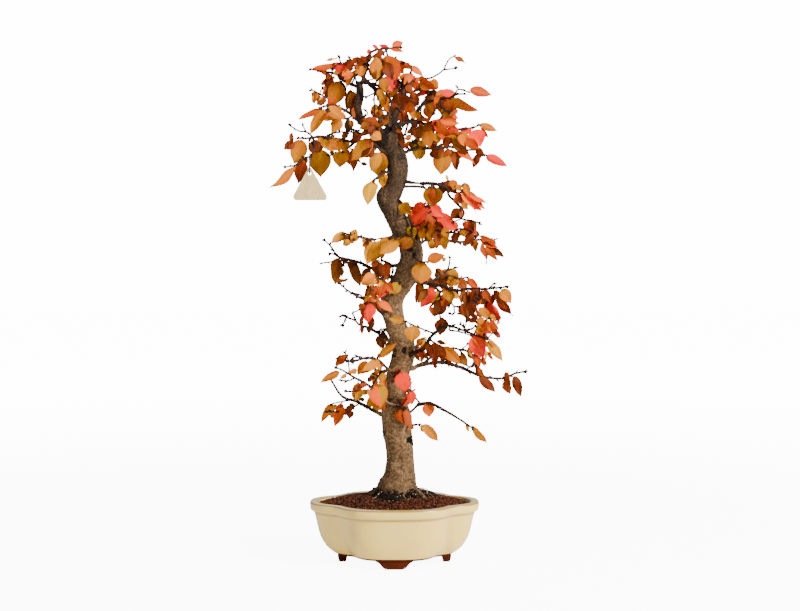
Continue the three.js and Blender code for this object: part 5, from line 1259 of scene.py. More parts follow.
def frontDepths(piles):  # how near to the viewer the leaves and the trunk are, in cells of the front view
    nearest = {}
    for point in (point for pile in piles for point in pile.leafPoints):
        cell = cellOf(*inView(point))
        nearest[cell] = min(nearest.get(cell, farAway), point.y)
    for z in range(90, 548, 3):
        middle, depth, radius = trunkAt(z)
        for x in np.arange(middle - radius + 2, middle + radius - 1, 3):
            cell = cellOf(x, z)
            nearest[cell] = min(nearest.get(cell, farAway), depth + 4)
    return nearest


def hidden(shape, nearest):  # whether the front view misses nearly all of a leaf
    across = Vector((shape["width"] * 0.3, 0, 0))
    behind = 0
    for share in (0.1, 0.35, 0.6, 0.85, 1):
        for side in (-1, 1):
            spot = shape["base"].lerp(shape["tip"], share) + across * side * math.sin(math.pi * share)
            behind += nearest.get(cellOf(*inView(spot)), farAway) < spot.y - 2
    return behind >= 8


def addFill(spray, nearest):  # leaves behind the others, that the sides and the back show
    rng = spray["rng"]
    high = np.mean([p.z for p in spray["paths"][0]]) > fillLook["crownFrom"]
    listed = [leaf[5] for leaf in spray["leaves"]] or ["ochre"]
    wanted = fillLook["inCrown" if high else "below"]
    made = 0
    for _ in range(wanted * 14):
        if made == wanted:
            break
        path = rng.choice(spray["paths"])
        root = path[rng.randrange(len(path) // 3, len(path))]
        turn = rng.uniform(-0.4, math.pi + 0.4)
        out = Vector((math.cos(turn), math.sin(turn), rng.uniform(-1.6, -0.1))).normalized()
        length = rng.uniform(*fillLook["length"])
        base = root + out * rng.uniform(3, 6)
        hue = rng.choice(listed)
        shape = {
            "root": root, "base": base, "tip": base + out * length,
            "width": length * rng.uniform(*fillLook["widthShare"]), "turn": rng.uniform(-1.2, 1.2),
            "curl": rng.uniform(-0.1, 0.2), "fold": rng.uniform(0.15, 0.5), "dry": dryHues.get(hue, 0),
        }
        if hidden(shape, nearest):
            addLeaf(spray["pile"], finish(shape, hue, rng), leafTint(hue, rng), rng)
            made += 1


allSprays = sprays + [grownFromRule(spray, i) for i, spray in enumerate(backSprays)]
for spray in allSprays:
    growWood(spray)
drawLeaf = drawsFrom(2024)
for spray in allSprays:
    addListedLeaves(spray, drawLeaf)
wood = {"points": [], "sprays": []}
for spray in sprays:
    for path in spray["paths"]:
        wood["points"] += path
        wood["sprays"] += [spray] * len(path)
wood["seen"] = np.array([inView(p) for p in wood["points"]])
for hue, leaves in moreLeaves.items():
    for leaf in leaves:
        addMoreLeaf(leaf, hue, wood)
for twig in moreTwigs:
    addMoreTwig(twig, wood)
foliageMaterials = [twigMaterial(), leafMaterial()]
nearest = frontDepths([spray["pile"] for spray in allSprays])
for spray in allSprays:
    addFill(spray, nearest)
    ready(spray["pile"].piece("dressed_" + spray["name"], foliageMaterials), "foliage", spray["name"])
print("sprays", len(allSprays))


# Trunk, with its roots and the thick starts of the limbs

trunkLook = {
    "voxel": 0.00115,
    "flutes": 0.9,  # depth of the slow swellings and hollows, in millimetres
    "lumps": 0.6,
    "grain": 0.22,
    "upperBark": 0x41301F,
    "lowerBark": 0x5A432B,
    "paleBark": 0x8A7050,
    "darkBark": 0x251910,
    "limbBark": 0x271A12,
    # the dark of the scars and the cut end, also used for the painted shadow at the limb joints
    "scarAndShadowColor": 0x0E0A08,
    "toneHeights": (100, 128, 154, 270, 367, 420, 445, 475, 520),
    "tones": (1, 1.05, 1.35, 1.5, 1.6, 1.5, 0.85, 0.6, 0.65),  # how bright the bark is at these heights
    "roughness": 0.82,
}
# Scars and old cuts as seen from the front, with two dark patches (x -13 and x 8, at z 540 and 541) that are
# painted shadow where the crown's limbs leave the trunk: place, reach, depth of the pit and how dark it is
scarsAndShadows = rowsAs(
    "x z high wide pit dark",
    (19.8, 154, 4.5, 5, 1.6, 1), (22, 150, 2.5, 3, 0.4, 0.8), (-13.5, 163, 3.5, 2.6, 0.9, 0.9),
    (12, 269, 4.5, 3.6, 1.6, 0.95), (-0.6, 261.5, 2.6, 2.4, 0.8, 0.9), (19.8, 398, 4.5, 4.2, 1.2, 1),
    (25, 392, 3, 2.6, 0.5, 0.9), (8, 516.5, 5, 7.5, 1.2, 0.6), (-1, 519, 2, 2.4, 0.4, 0.6),
    (-13, 540, 8, 5, 0.5, 0.75), (8, 541, 12, 4, 0.3, 0.7), (-9.6, 551, 5, 6, 0.8, 1),
    (2, 230, 2, 4, 0.6, 0.5), (-4, 340, 2.2, 3, 0.7, 0.6), (8, 302, 2, 4, 0.5, 0.5),
    (-5, 206, 2.4, 2.6, 0.7, 0.6), (6, 118, 2, 4, 0.4, 0.45),
)
cutTop = {"x": -45, "z": 612, "reach": 9}  # the flat black end of the pruned limb


def swellAt(out, place):
    swell = 1
    for knot in knots:
        facing = (out.x * knot["toX"] + out.y * knot["toY"]) / math.hypot(knot["toX"], knot["toY"])
        along = (place.z - knot["z"]) / knot["reach"]
        swell += knot["swell"] * math.exp(-along * along) * max(0, facing) ** 3
    return swell


def addStem(pile, points, radii, sides, step, swell=lambda out, place: 1):
    line, shares = evenly(curveThrough(points, 16), step)
    lengths = distancesAlong(points, apart)
    stations = [0, 1] if len(radii) == 2 else np.array(lengths) / lengths[-1]
    spread = np.interp(shares, stations, radii)
    ring = []
    for i, (across, up, _) in enumerate(framesAlong(line)):
        p = line[i]
        for s in range(sides):
            angle = 2 * math.pi * s / sides
            out = across * math.cos(angle) + up * math.sin(angle)
            ring.append(p + out * spread[i] * swell(out, p))
    pile.add(ring, ringFaces(len(line), sides), 0, (1, 1, 1), (0, 0))


def barkMaterial():
    tree = Tree("bark")
    spot = tree.places((1, 1, 0.6))
    fine = tree.noise(spot, 900, 5, 0.65)
    patch = tree.noise(spot, 130, 4)
    speck = tree.noise(tree.places(), 430, 3, 0.6)
    crack = tree.cells(tree.places((1, 1, 0.45)), 420, "DISTANCE_TO_EDGE")
    base = tree.tint("tint")
    color = tree.mix(patch.ramp(0.42, 0.62) * 0.2, base, (0.7, 0.6, 0.48), "MULTIPLY")
    color = tree.mix(speck.ramp(0.54, 0.63) * 0.75, color, (0.36, 0.29, 0.23), "MULTIPLY")
    color = tree.mix((1 - speck.ramp(0.37, 0.46)) * 0.6, color, (2.0, 1.9, 1.75), "MULTIPLY")
    color = tree.mix(fine.ramp(0.52, 0.72) * 0.4, color, (1.8, 1.75, 1.7), "MULTIPLY")
    color = tree.mix(crack.ramp(0.0, 0.06) * -0.5 + 0.5, color, (0.45, 0.36, 0.3), "MULTIPLY")
    height = fine * 0.6 + speck * 0.5 + crack.ramp(0.0, 0.1) * 0.35
    tree.principled(
        Base_Color=color,
        Roughness=fine * 0.2 + (trunkLook["roughness"] - 0.1),
        Normal=tree.bump(height, 0.9, 0.0007),
        Specular_IOR_Level=0.12,
    )
    return tree.material


def layers(place, scale, stretch=1):  # noise between -1 and 1
    return noise.noise(Vector((place[0], place[1], place[2] * stretch)) / scale)


def shapeBark(points, normals):  # moves the skin's points out and in, and colours them
    look = trunkLook
    names = ("upperBark", "lowerBark", "paleBark", "darkBark", "limbBark", "scarAndShadowColor")
    upper, lower, pale, dark, limbBark, scarAndShadowColor = (linear(look[name]) for name in names)
    moved, tints = [], []
    for place, normal in zip(points, normals):
        flute = layers(place, 15, 0.45)
        lump = layers(place + 50, 6, 0.7)
        grain = layers(place, 2.2, 0.7)
        ring = abs(layers(place + 90, 9, 1.6))
        shift = look["flutes"] * flute + look["lumps"] * lump + look["grain"] * grain
        shift -= 0.5 * (1 - smooth(0, 0.12, ring))
        front = smooth(0.1, -0.25, normal[1]) if normal[1] < 0.1 else 0
        spread = 1 + place[1] / viewDistance
        x, z = place[0] / spread, eyeHeight + (place[2] - eyeHeight) / spread
        black = 0
        for scar in scarsAndShadows:
            away = ((x - scar["x"]) / scar["wide"]) ** 2 + ((z - scar["z"]) / scar["high"]) ** 2
            if away < 6:
                away *= 1 + 0.5 * grain + 0.4 * lump
                rim = math.exp(-(away - 1.6) ** 2 * 1.5)
                shift += front * (0.7 * rim - scar["pit"] * math.exp(-away * 1.4))
                # the scars are darkened, and the two patches at the limb joints are painted shadow
                black = max(black, front * scar["dark"] * (1 - smooth(0.5, 1.3, away)))
        endAway = math.hypot(x - cutTop["x"], 0.5 * place[1])
        if z > cutTop["z"] - 1 and endAway < cutTop["reach"]:
            black = max(black, smooth(cutTop["z"] - 1, cutTop["z"] + 0.6, z + lump))
        # A long black scar down the pruned limb
        if 588 < z < 612 and abs(x - lerp(-42, -48, (z - 588) / 24)) < 2.2 + lump:
            black = max(black, 0.85 * front)
        high = smooth(240, 420, z + 30 * layers(place, 40))
        bark = lerp(lower, upper, high) * np.interp(z, look["toneHeights"], look["tones"])
        bark = lerp(bark, pale, 0.35 * smooth(0.1, 0.6, layers(place + 20, 13, 0.8)) * (1 - 0.6 * high))
        bark = lerp(bark, dark, 0.35 * smooth(0.12, 0.6, layers(place + 70, 8, 1.4)))
        bark = lerp(bark, dark, 0.3 * (1 - smooth(0, 0.1, ring)))
        bark = lerp(bark, dark, 0.5 * smooth(100, 84, z))
        middleX, middleY, radius = trunkAt(z)
        limb = smooth(1.2, 1.9, math.hypot(x - middleX, place[1] - middleY) / radius) * smooth(110, 130, z)
        bark = lerp(bark, limbBark * (1 + 1.8 * smooth(480, 540, z)), 0.92 * limb)
        bark = bark * (1 + 0.12 * lump + 0.6 * grain)
        moved.append(place + normal * shift)
        tints.append(lerp(bark, scarAndShadowColor, black))
    return np.array(moved), np.clip(np.array(tints), 0, 1)


def dressTrunk():
    pile = Pile()
    line = [seen(ring["x"], ring["z"], ring["y"]) for ring in trunkLine]
    addStem(pile, line, [ring["r"] for ring in trunkLine], 28, 3, swellAt)
    for root in roots:
        angle = math.radians(root["turn"])

        def at(distance, z):
            return Vector((3 + distance * math.cos(angle), 0.85 * distance * math.sin(angle), z))

        points = [at(8, 110), at(17, 94), at(0.72 * root["reach"], 83), at(root["reach"], 75)]
        addStem(pile, points, [root["radius"] * share for share in (1, 1, 0.7, 0.4)], 14, 3)
    for row in limbs.values():
        limb = stemOf(row)
        addStem(pile, placed(limb), limb["r"], 14, 3)
    rough = pile.piece("bark_form", [])
    remesh = rough.modifiers.new("Remesh", "REMESH")
    remesh.mode = "VOXEL"
    remesh.voxel_size = trunkLook["voxel"]
    smoother = rough.modifiers.new("Smooth", "SMOOTH")
    smoother.factor, smoother.iterations = 0.6, 6
    whole = bpy.data.meshes.new_from_object(rough.evaluated_get(bpy.context.evaluated_depsgraph_get()))
    bpy.data.objects.remove(rough)
    count = len(whole.vertices)
    flat = np.zeros(count * 3)
    whole.vertices.foreach_get("co", flat)
    points = (flat.reshape(-1, 3) - np.array(origin)) / mm
    whole.vertices.foreach_get("normal", flat)
    moved, tints = shapeBark(points, flat.reshape(-1, 3))
    whole.vertices.foreach_set("co", (moved * mm + np.array(origin)).ravel())
    while whole.attributes.get("tint"):
        whole.attributes.remove(whole.attributes["tint"])
    tint = whole.attributes.new("tint", "FLOAT_COLOR", "POINT")
    tint.data.foreach_set("color", np.column_stack((tints, np.ones(count))).ravel())
    whole.polygons.foreach_set("use_smooth", [True] * len(whole.polygons))
    whole.materials.clear()
    whole.materials.append(barkMaterial())
    whole.name = "dressed_trunk"
    made = bpy.data.objects.new("dressed_trunk", whole)
    bpy.context.collection.objects.link(made)
    print("trunk", len(whole.polygons), "faces")
    return ready(made, "bark", "trunk")


dressTrunk()

# Pot

potLook = {
    "sides": 240,
    "length": 216,
    "depth": 158,
    # Half length, half depth and squareness of the two forms that cross, and how sharply they meet
    "forms": ((108, 50, 2.6), (78, 79, 2.8)),
    "meeting": 26,
    "glaze": 0xDCB952,
    # the browner thin glaze at the lip's edge, also used for the painted shade under the lip and in the
    # waists
    "thinGlazeAndShade": 0x7C6036,
    "clay": 0x4A1B0A,
    "roughness": 0.3,
    "clayTo": 13.6,  # the glaze stops at this height
    "footTo": 13.2,  # and below this one all is bare clay
    "drainPlaces": (-40, 40),
    "drainRadius": 9,
}
# Middle, half length, thickness and turn of each foot
potFeet = (
    (0, -51, 23, 12, 0), (0, 51, 23, 12, 0), (-66, 0, 19, 12, math.pi / 2), (66, 0, 19, 12, math.pi / 2)
)


def potOutline(halfLength, halfDepth, sides, inset=0):
    ring = []
    for side in range(sides):
        angle = 2 * math.pi * side / sides

        def reach(long, deep, power):
            share = (abs(math.cos(angle)) / long) ** power + (abs(math.sin(angle)) / deep) ** power
            return share ** (-1 / power)

        meeting = potLook["meeting"]
        radius = sum(reach(*form) ** meeting for form in potLook["forms"]) ** (1 / meeting)
        x = radius * math.cos(angle) * 2 * (halfLength - inset) / potLook["length"]
        y = radius * math.sin(angle) * 2 * (halfDepth - inset) / potLook["depth"]
        ring.append((x, y))
    return ring


# Height, half length and half depth of the pot's rings, from the underside up and into the inside
potRings = [
    (11.4, 72, 57.4), (11, 73.2, 58.4), (11.6, 74.8, 59.6), (14, 79, 62), (17.5, 83.6, 63.6),
    (21, 87.4, 65.2), (27, 91.4, 67.4), (33, 94.5, 69), (41, 97, 70.6), (49, 99, 71.8), (57, 100.8, 73),
    (62.6, 102.2, 73.9), (64.4, 103, 74.6), (65.4, 104.8, 76.2), (66.6, 106.6, 77.7),
    (68.2, 107.4, 78.4), (71.5, 107.8, 78.8), (74.6, 108, 79), (76, 107.7, 78.7), (76.8, 107, 78),
    (77, 106, 77), (77, 102, 73), (77, 98.6, 69.6), (76.5, 97.6, 68.6), (75.4, 97, 68), (72, 97, 68),
    (66, 96.8, 67.8), (20, 80.5, 58.5),
]


def glazeMaterial():
    tree = Tree("glaze")
    place = tree.add("ShaderNodeSeparateXYZ", {}, {0: tree.places()})
    height = place.out(2) * 1000 - potLow.z * 1000
    # painted shade in the waists, where the pot's lobes meet
    creaseShade = 1 - ((place.out(0) * 1000).abs() - 61).abs().ramp(1, 9)
    cloud = tree.noise(tree.places((1, 1, 0.5)), 26, 3)
    pits = tree.noise(tree.places(), 900, 2)
    speck = tree.cells(tree.places(), 95).ramp(0.0, 0.05)
    speckSeldom = tree.noise(tree.places(), 60, 1).ramp(0.66, 0.7)
    wobble = tree.noise(tree.places(), 150, 2) * 1.6
    clay = 1 - (height + wobble).ramp(potLook["clayTo"] + 0.6, potLook["clayTo"] + 1.2)
    lip = (1 - ((height - 76.2).abs() + wobble * 0.25).ramp(0.6, 1.7)) * 0.85
    # painted shadow in a band under the lip
    shadowUnderLip = (1 - ((height - 64).abs()).ramp(0.5, 2.6)) * 0.55
    color = tree.mix(cloud.ramp(0.35, 0.7) * 0.35, linear(potLook["glaze"]), (0.58, 0.37, 0.085))
    # the lip's thin glaze, and the painted shade under the lip and in the waists
    color = tree.mix(lip.most(shadowUnderLip).most(creaseShade * 0.2), color, linear(potLook["thinGlazeAndShade"]) * 0.8)
    color = tree.mix((1 - speck) * speckSeldom * 0.9, color, (0.05, 0.03, 0.02))
    clayNoise = tree.noise(tree.places(), 260, 5)
    clayColor = tree.mix(clayNoise, linear(potLook["clay"]) * 0.55, linear(potLook["clay"]) * 1.35)
    tree.principled(
        Base_Color=tree.mix(clay, color, clayColor),
        Roughness=clay * 0.4 + cloud * 0.12 + (potLook["roughness"] - 0.06),
        Coat_Weight=(1 - clay) * 0.35,
        Coat_Roughness=0.16,
        Normal=tree.bump(cloud * 2 + pits * 0.25 + clay * clayNoise * 0.8, 0.35, 0.0004),
        Specular_IOR_Level=0.5,
    )
    return tree.material


def clayMaterial():
    tree = Tree("bare_clay")
    grain = tree.noise(tree.places(), 260, 5)
    shade = linear(potLook["clay"])
    tree.principled(
        Base_Color=tree.mix(grain, shade * 0.5, shade * 1.2),
        Roughness=grain * 0.15 + 0.75,
        Normal=tree.bump(grain, 0.5, 0.0005),
        Specular_IOR_Level=0.06,
    )
    return tree.material


def footOutline(halfLength):  # half of the cloud-shaped foot, as x and z from its sole up
    points = [np.array((0.4 * halfLength, 0.0))]
    points += bend(points[-1], np.array((0.6 * halfLength, 0.6)), np.array((0.72 * halfLength, 5)), 8)[1:]
    points += bend(points[-1], np.array((0.84 * halfLength, 9)), np.array((halfLength, 10)), 8)[1:]
    points.append(np.array((halfLength, 13)))
    return points


def addFoot(pile, x, y, halfLength, thickness, turn):
    half = footOutline(halfLength)
    outline = half + [p * (-1, 1) for p in reversed(half)]
    center = np.array((0, 7))
    rings = []
    for depth, inset in ((-0.5, 0.93), (-0.46, 0.98), (-0.4, 1), (0.4, 1), (0.46, 0.98), (0.5, 0.93)):
        for p in outline:
            a, z = center + (p - center) * inset if p[1] < 12 else (p[0] * inset, p[1])
            b = depth * thickness * (1 - 0.25 * smooth(8, 0, z))
            across = a * math.cos(turn) - b * math.sin(turn)
            along = a * math.sin(turn) + b * math.cos(turn)
            rings.append((x + across, y + along, z))
    pile.add(rings, ringFaces(6, len(outline)), 0, (1, 1, 1), (0, 0))


drillLength = 12


def drilled(piece, spots, radius, turn=(0, 0, 0)):  # round holes cut through a piece
    for spot in spots:
        bpy.ops.mesh.primitive_cylinder_add(
            vertices=48, radius=radius * mm, depth=drillLength * mm, location=spot, rotation=turn
        )
        drill = bpy.context.object
        cut = piece.modifiers.new("Cut", "BOOLEAN")
        cut.operation, cut.object = "DIFFERENCE", drill
        mesh = bpy.data.meshes.new_from_object(piece.evaluated_get(bpy.context.evaluated_depsgraph_get()))
        piece.modifiers.clear()
        piece.data = mesh
        bpy.data.objects.remove(drill)
    return piece


def dressPot():
    pile = Pile()
    points = []
    for z, halfLength, halfDepth in potRings:
        for x, y in potOutline(halfLength, halfDepth, potLook["sides"]):
            angle = math.atan2(y, x)
            throwing = 0.15 * math.sin(3 * angle + z / 9) if 20 < z < 62 else 0
            points.append((x * (1 + throwing / 200), y * (1 + throwing / 160), z))
    pile.add(points, ringFaces(len(potRings), potLook["sides"]), 0, (1, 1, 1), (0, 0))
    for foot in potFeet:
        addFoot(pile, *foot)
    pot = pile.piece("dressed_pot", [glazeMaterial(), clayMaterial()])
    drains = [origin + Vector((x, 0, 15.5)) * mm for x in potLook["drainPlaces"]]
    drilled(pot, drains, potLook["drainRadius"])
    pot.data.polygons.foreach_set("use_smooth", [True] * len(pot.data.polygons))
    for face in pot.data.polygons:
        face.material_index = (face.center.z - origin.z) / mm < potLook["footTo"]
    return ready(pot, "glaze", "pot")


dressPot()
print("pot")

# The plastic mesh over each drain hole

screenLook = {
    "width": 26,
    "height": 20.35,  # of its underside
    "wires": 9,
    "wire": 1.1,
    "color": (0.02, 0.024, 0.026),
    "roughness": 0.55,
}


def screenMaterial():
    tree = Tree("screen_plastic")
    grain = tree.noise(tree.places(), 1500, 2)
    tree.principled(
        Base_Color=tree.mix(grain, screenLook["color"], [c * 1.8 for c in screenLook["color"]]),
        Roughness=grain * 0.2 + screenLook["roughness"],
        Normal=tree.bump(grain, 0.2, 0.0002),
    )
    return tree.material


def addBar(pile, low, high):
    (x0, y0, z0), (x1, y1, z1) = low, high
    points = [(x, y, z) for z in (z0, z1) for x, y in ((x0, y0), (x1, y0), (x1, y1), (x0, y1))]
    pile.add(points, ringFaces(2, 4), 0, (1, 1, 1), (0, 0))


def dressScreens(material):
    half, low, fat = screenLook["width"] / 2, screenLook["height"], screenLook["wire"] / 2
    for name, middleX in zip(("drain_screen_left", "drain_screen_right"), potLook["drainPlaces"]):
        pile = Pile()
        for i in range(screenLook["wires"]):
            a = lerp(-half + 0.8, half - 0.8, i / (screenLook["wires"] - 1))
            addBar(pile, (middleX + a - fat, -half, low), (middleX + a + fat, half, low + 0.65))
            addBar(pile, (middleX - half, a - fat, low + 0.55), (middleX + half, a + fat, low + 1.2))
        ready(pile.piece("dressed_" + name, [material]), "mesh", name)


dressScreens(screenMaterial())

# Soil: a bed and its loose grains

soilLook = {
    "edge": 73.5,
    "crown": 86,
    "grains": 6400,
    "grainWidth": (2.2, 4.4),
    "colors": [0x37160A, 0x451E0D, 0x522A15, 0x573222, 0x3A180B, 0x200D07],
    "roughness": 0.9,
}
humusLook = {
    "left": 34, "right": 50, "depth": 33, "rise": 6,
    "lumps": 900,
    "colors": [0x0D0A09, 0x17110E, 0x241812, 0x0A0807],
    "specks": 30,
    "rootlets": 50,
    "collar": 680,  # crumbs heaped against the roots
}


def mound(x, y):
    share = min(1, math.hypot(x / 97, y / 68))
    return soilLook["edge"] + (soilLook["crown"] - soilLook["edge"]) * (1 - share ** 1.7)


def humusReach(angle):  # how far the humus goes along x and along y
    lobes = 1 + 0.13 * math.sin(3 * angle + 0.6) + 0.08 * math.sin(7 * angle)
    return humusLook["left" if math.cos(angle) < 0 else "right"] * lobes, humusLook["depth"] * lobes


def humusShare(x, y):  # 1 at the edge of the humus, less inside it
    long, deep = humusReach(math.atan2(y, x))
    return math.hypot(x / long, y / deep)


def crumbMaterial(name, roughness, bright):
    tree = Tree(name)
    fine = tree.noise(tree.places(), 1600, 4)
    base = tree.tint("tint")
    color = tree.mix(fine.ramp(0.4, 0.7) * 0.5, base, (0.45, 0.38, 0.32), "MULTIPLY")
    color = tree.mix(fine.ramp(0.62, 0.8) * 0.35, color, bright)
    tree.principled(
        Base_Color=color,
        Roughness=fine * 0.15 + (roughness - 0.05),
        Normal=tree.bump(fine, 0.8, 0.0005),
        Specular_IOR_Level=0.1,
    )
    return tree.material


golden = (1 + math.sqrt(5)) / 2
grainPoints = np.array(
    [(0, a, b * golden) for a in (-1, 1) for b in (-1, 1)]
    + [(a, b * golden, 0) for a in (-1, 1) for b in (-1, 1)]
    + [(b * golden, 0, a) for a in (-1, 1) for b in (-1, 1)], dtype=float
)
grainPoints /= np.linalg.norm(grainPoints[0])


def hullFaces(points):  # the faces of the round grain, found once
    form = bpy.data.meshes.new("grain_form")
    form.from_pydata([tuple(p) for p in points], [], [])
    shell = bmesh.new()
    shell.from_mesh(form)
    bmesh.ops.convex_hull(shell, input=shell.verts)
    bmesh.ops.recalc_face_normals(shell, faces=shell.faces)
    faces = [tuple(v.index for v in face.verts) for face in shell.faces]
    shell.free()
    bpy.data.meshes.remove(form)
    return faces


grainFaces = hullFaces(grainPoints)


def addGrain(pile, place, size, tint, rng, flat=0.8):
    angle = rng.uniform(0, 6.3)
    axis = Vector([rng.uniform(-1, 1) for _ in range(3)]).normalized()
    turn = np.array(Matrix.Rotation(angle, 3, axis))
    stretch = np.array([rng.uniform(0.7, 1.15), rng.uniform(0.7, 1.15), rng.uniform(0.6, 1.0)])
    rough = np.array([rng.uniform(0.82, 1.15) for _ in range(12)])[:, None]
    points = (grainPoints * rough * stretch) @ turn.T * (1, 1, flat) * size / 2 + np.array(place)
    pile.add(points, grainFaces, 0, tint, (0, 0))


def insidePot(x, y, edge):  # whether a place lies within the pot's rim
    angle = math.atan2(y * potLook["length"] / potLook["depth"], x)
    ring = rimRing[round(angle / (2 * math.pi) * len(rimRing)) % len(rimRing)]
    return math.hypot(x, y) < math.hypot(*ring) - edge


rimHalves = potLook["length"] / 2, potLook["depth"] / 2
rimRing = potOutline(*rimHalves, 360, 11.4)


def dressSoil():
    rng = random.Random(31)
    pile = Pile()
    sides = 96
    outline = potOutline(*rimHalves, sides, 11.6)
    lower = potOutline(86.5, 64.5, sides, 6.9)
    points = [(x, y, 20.4) for x, y in lower] + [(x, y, 66) for x, y in outline]
    rings = 26
    for i in range(rings):
        share = 1 - i / rings
        for x, y in outline:
            a, b = x * share, y * share
            points.append((a, b, mound(a, b) - 1.4 + noise.noise(Vector((a, b, 0)) / 4)))
    bedTint = linear(0x26130E)
    pile.add(points, ringFaces(rings + 2, sides), 0, bedTint, (0, 0))
    colors = [linear(color) for color in soilLook["colors"]]
    made = 0
    while made < soilLook["grains"]:
        x, y = rng.uniform(-98, 98), rng.uniform(-69, 69)
        if not insidePot(x, y, 1) or math.hypot(x - 3, y) < 17:
            continue
        size = rng.uniform(*soilLook["grainWidth"])
        under = humusShare(x, y) < 0.8
        z = mound(x, y) - (2.2 if under else 0) + rng.uniform(-1.6, 0.9) - 0.2 * size
        # grains sunk below the bed are made darker: painted shade between the grains
        tint = rng.choice(colors) * rng.uniform(0.65, 1.25) * (0.7 if z < mound(x, y) - 1 else 1)
        addGrain(pile, (x, y, z), size, tint, rng)
        made += 1
    material = crumbMaterial("baked_clay_grain", soilLook["roughness"], (0.12, 0.042, 0.016))
    return ready(pile.piece("dressed_soil", [material]), "soil", "soil")


def dressHumus():
    rng = random.Random(47)
    pile = Pile()
    sides, rings = 90, 16

    def ringAt(share):
        for side in range(sides):
            angle = 2 * math.pi * side / sides
            long, deep = humusReach(angle)
            yield long * share * math.cos(angle), deep * share * math.sin(angle)

    points = []
    for share, drop in ((0.9, -3), (0.98, -0.6)):
        points += [(x, y, mound(x, y) + drop) for x, y in ringAt(share)]
    for i in range(rings):
        share = 1 - i / rings * 0.9
        for x, y in ringAt(share):
            rise = humusLook["rise"] * smooth(1.02, 0.75, share) - 1.2
            rough = 1.3 * noise.noise(Vector((x, y, 0)) / 7) + 0.8 * noise.noise(Vector((x, y, 9)) / 2.5)
            points.append((x, y, mound(x, y) + rise + rough))
    pile.add(points, ringFaces(rings + 2, sides), 0, linear(0x0D0A09), (0, 0))
    colors = [linear(color) for color in humusLook["colors"]]

    def spotIn(most):
        while True:
            x, y = rng.uniform(-48, 58), rng.uniform(-38, 38)
            if humusShare(x, y) < most and math.hypot(x - 4, y) > 17:
                return x, y

    def top(x, y):
        return mound(x, y) + humusLook["rise"] * smooth(1.05, 0.75, humusShare(x, y))

    for _ in range(humusLook["lumps"]):
        x, y = spotIn(1.0)
        size = rng.uniform(1.6, 5)
        z = top(x, y) - 0.35 * size + rng.uniform(-0.6, 0.8)
        addGrain(pile, (x, y, z), size, rng.choice(colors), rng, 0.7)
    for _ in range(humusLook["collar"]):
        turn, away = rng.uniform(0, 2 * math.pi), rng.uniform(24, 35)
        x, y = 3 + away * math.cos(turn), 0.88 * away * math.sin(turn)
        size = rng.uniform(2, 4.6)
        heap = rng.uniform(-0.4, 1) * (3.4 - 3 * min(0, math.sin(turn))) * smooth(36, 26, away)
        addGrain(pile, (x, y, top(x, y) + heap - 0.3 * size), size, rng.choice(colors), rng, 0.8)
    for _ in range(humusLook["specks"]):
        x, y = spotIn(0.98)
        size = rng.uniform(0.8, 1.9)
        addGrain(pile, (x, y, top(x, y) + 0.6), size, linear(0xC8BEAA) * rng.uniform(0.6, 1), rng)
    for _ in range(humusLook["rootlets"]):
        x, y = spotIn(0.95)
        turn = rng.uniform(0, 6.3)
        line = [Vector((x, y, top(x, y) + 0.4))]
        for _ in range(rng.randint(3, 6)):
            turn += rng.uniform(-0.9, 0.9)
            x, y = x + 2.6 * math.cos(turn), y + 2.6 * math.sin(turn)
            line.append(Vector((x, y, top(x, y) + rng.uniform(0.2, 2.2))))
        shade = linear(rng.choice([0x9A7A58, 0x6A4C34, 0xB89A78, 0x2A1C14]))
        radius = rng.uniform(0.2, 0.5)
        fineLine = curveThrough(line, 3)
        tube(pile, fineLine, np.linspace(radius, radius * 0.4, len(fineLine)), 5, 0, shade)
    material = crumbMaterial("humus", 0.92, (0.05, 0.035, 0.025))
    return ready(pile.piece("dressed_root_soil", [material]), "humus", "root_soil")


dressSoil()
dressHumus()
print("soil")

# The bare wooden tag and its cord

tagLook = {
    "width": 40,
    "height": 37.3,
    "thickness": 3,
    "hole": 2.2,
    "hangsAt": (-107.2, 515),  # x and z of its place on the twig
    "drop": 17.7,  # of its top below the twig
    "color": 0xC8AF78,
    "edgeColor": 0x8C7148,
}
cordLook = {"radius": 0.62, "twist": 0.42, "turns": 9, "reach": 4.5, "around": 110, "color": 0x2A2420}


def tagMaterial():
    tree = Tree("tag_wood")
    spot = tree.places((1, 1, 0.12))
    grain = tree.noise(spot, 900, 5, 0.6)
    rings = tree.noise(tree.places((1, 1, 0.2)), 160, 3)
    color = tree.mix(grain.ramp(0.4, 0.65) * 0.5, linear(tagLook["color"]), linear(tagLook["edgeColor"]))
    color = tree.mix(rings.ramp(0.5, 0.62) * 0.2, color, (0.36, 0.24, 0.11))
    tree.principled(
        Base_Color=color,
        Roughness=grain * 0.2 + 0.55,
        Normal=tree.bump(grain, 0.4, 0.0003),
        Specular_IOR_Level=0.3,
    )
    return tree.material


def cordMaterial():
    tree = Tree("cord_fibre")
    fibre = tree.noise(tree.places(), 2200, 3)
    dark = linear(cordLook["color"])
    tree.principled(
        Base_Color=tree.mix(fibre, dark * 0.6, dark * 1.8),
        Roughness=fibre * 0.1 + 0.85,
        Normal=tree.bump(fibre, 0.6, 0.0003),
    )
    return tree.material


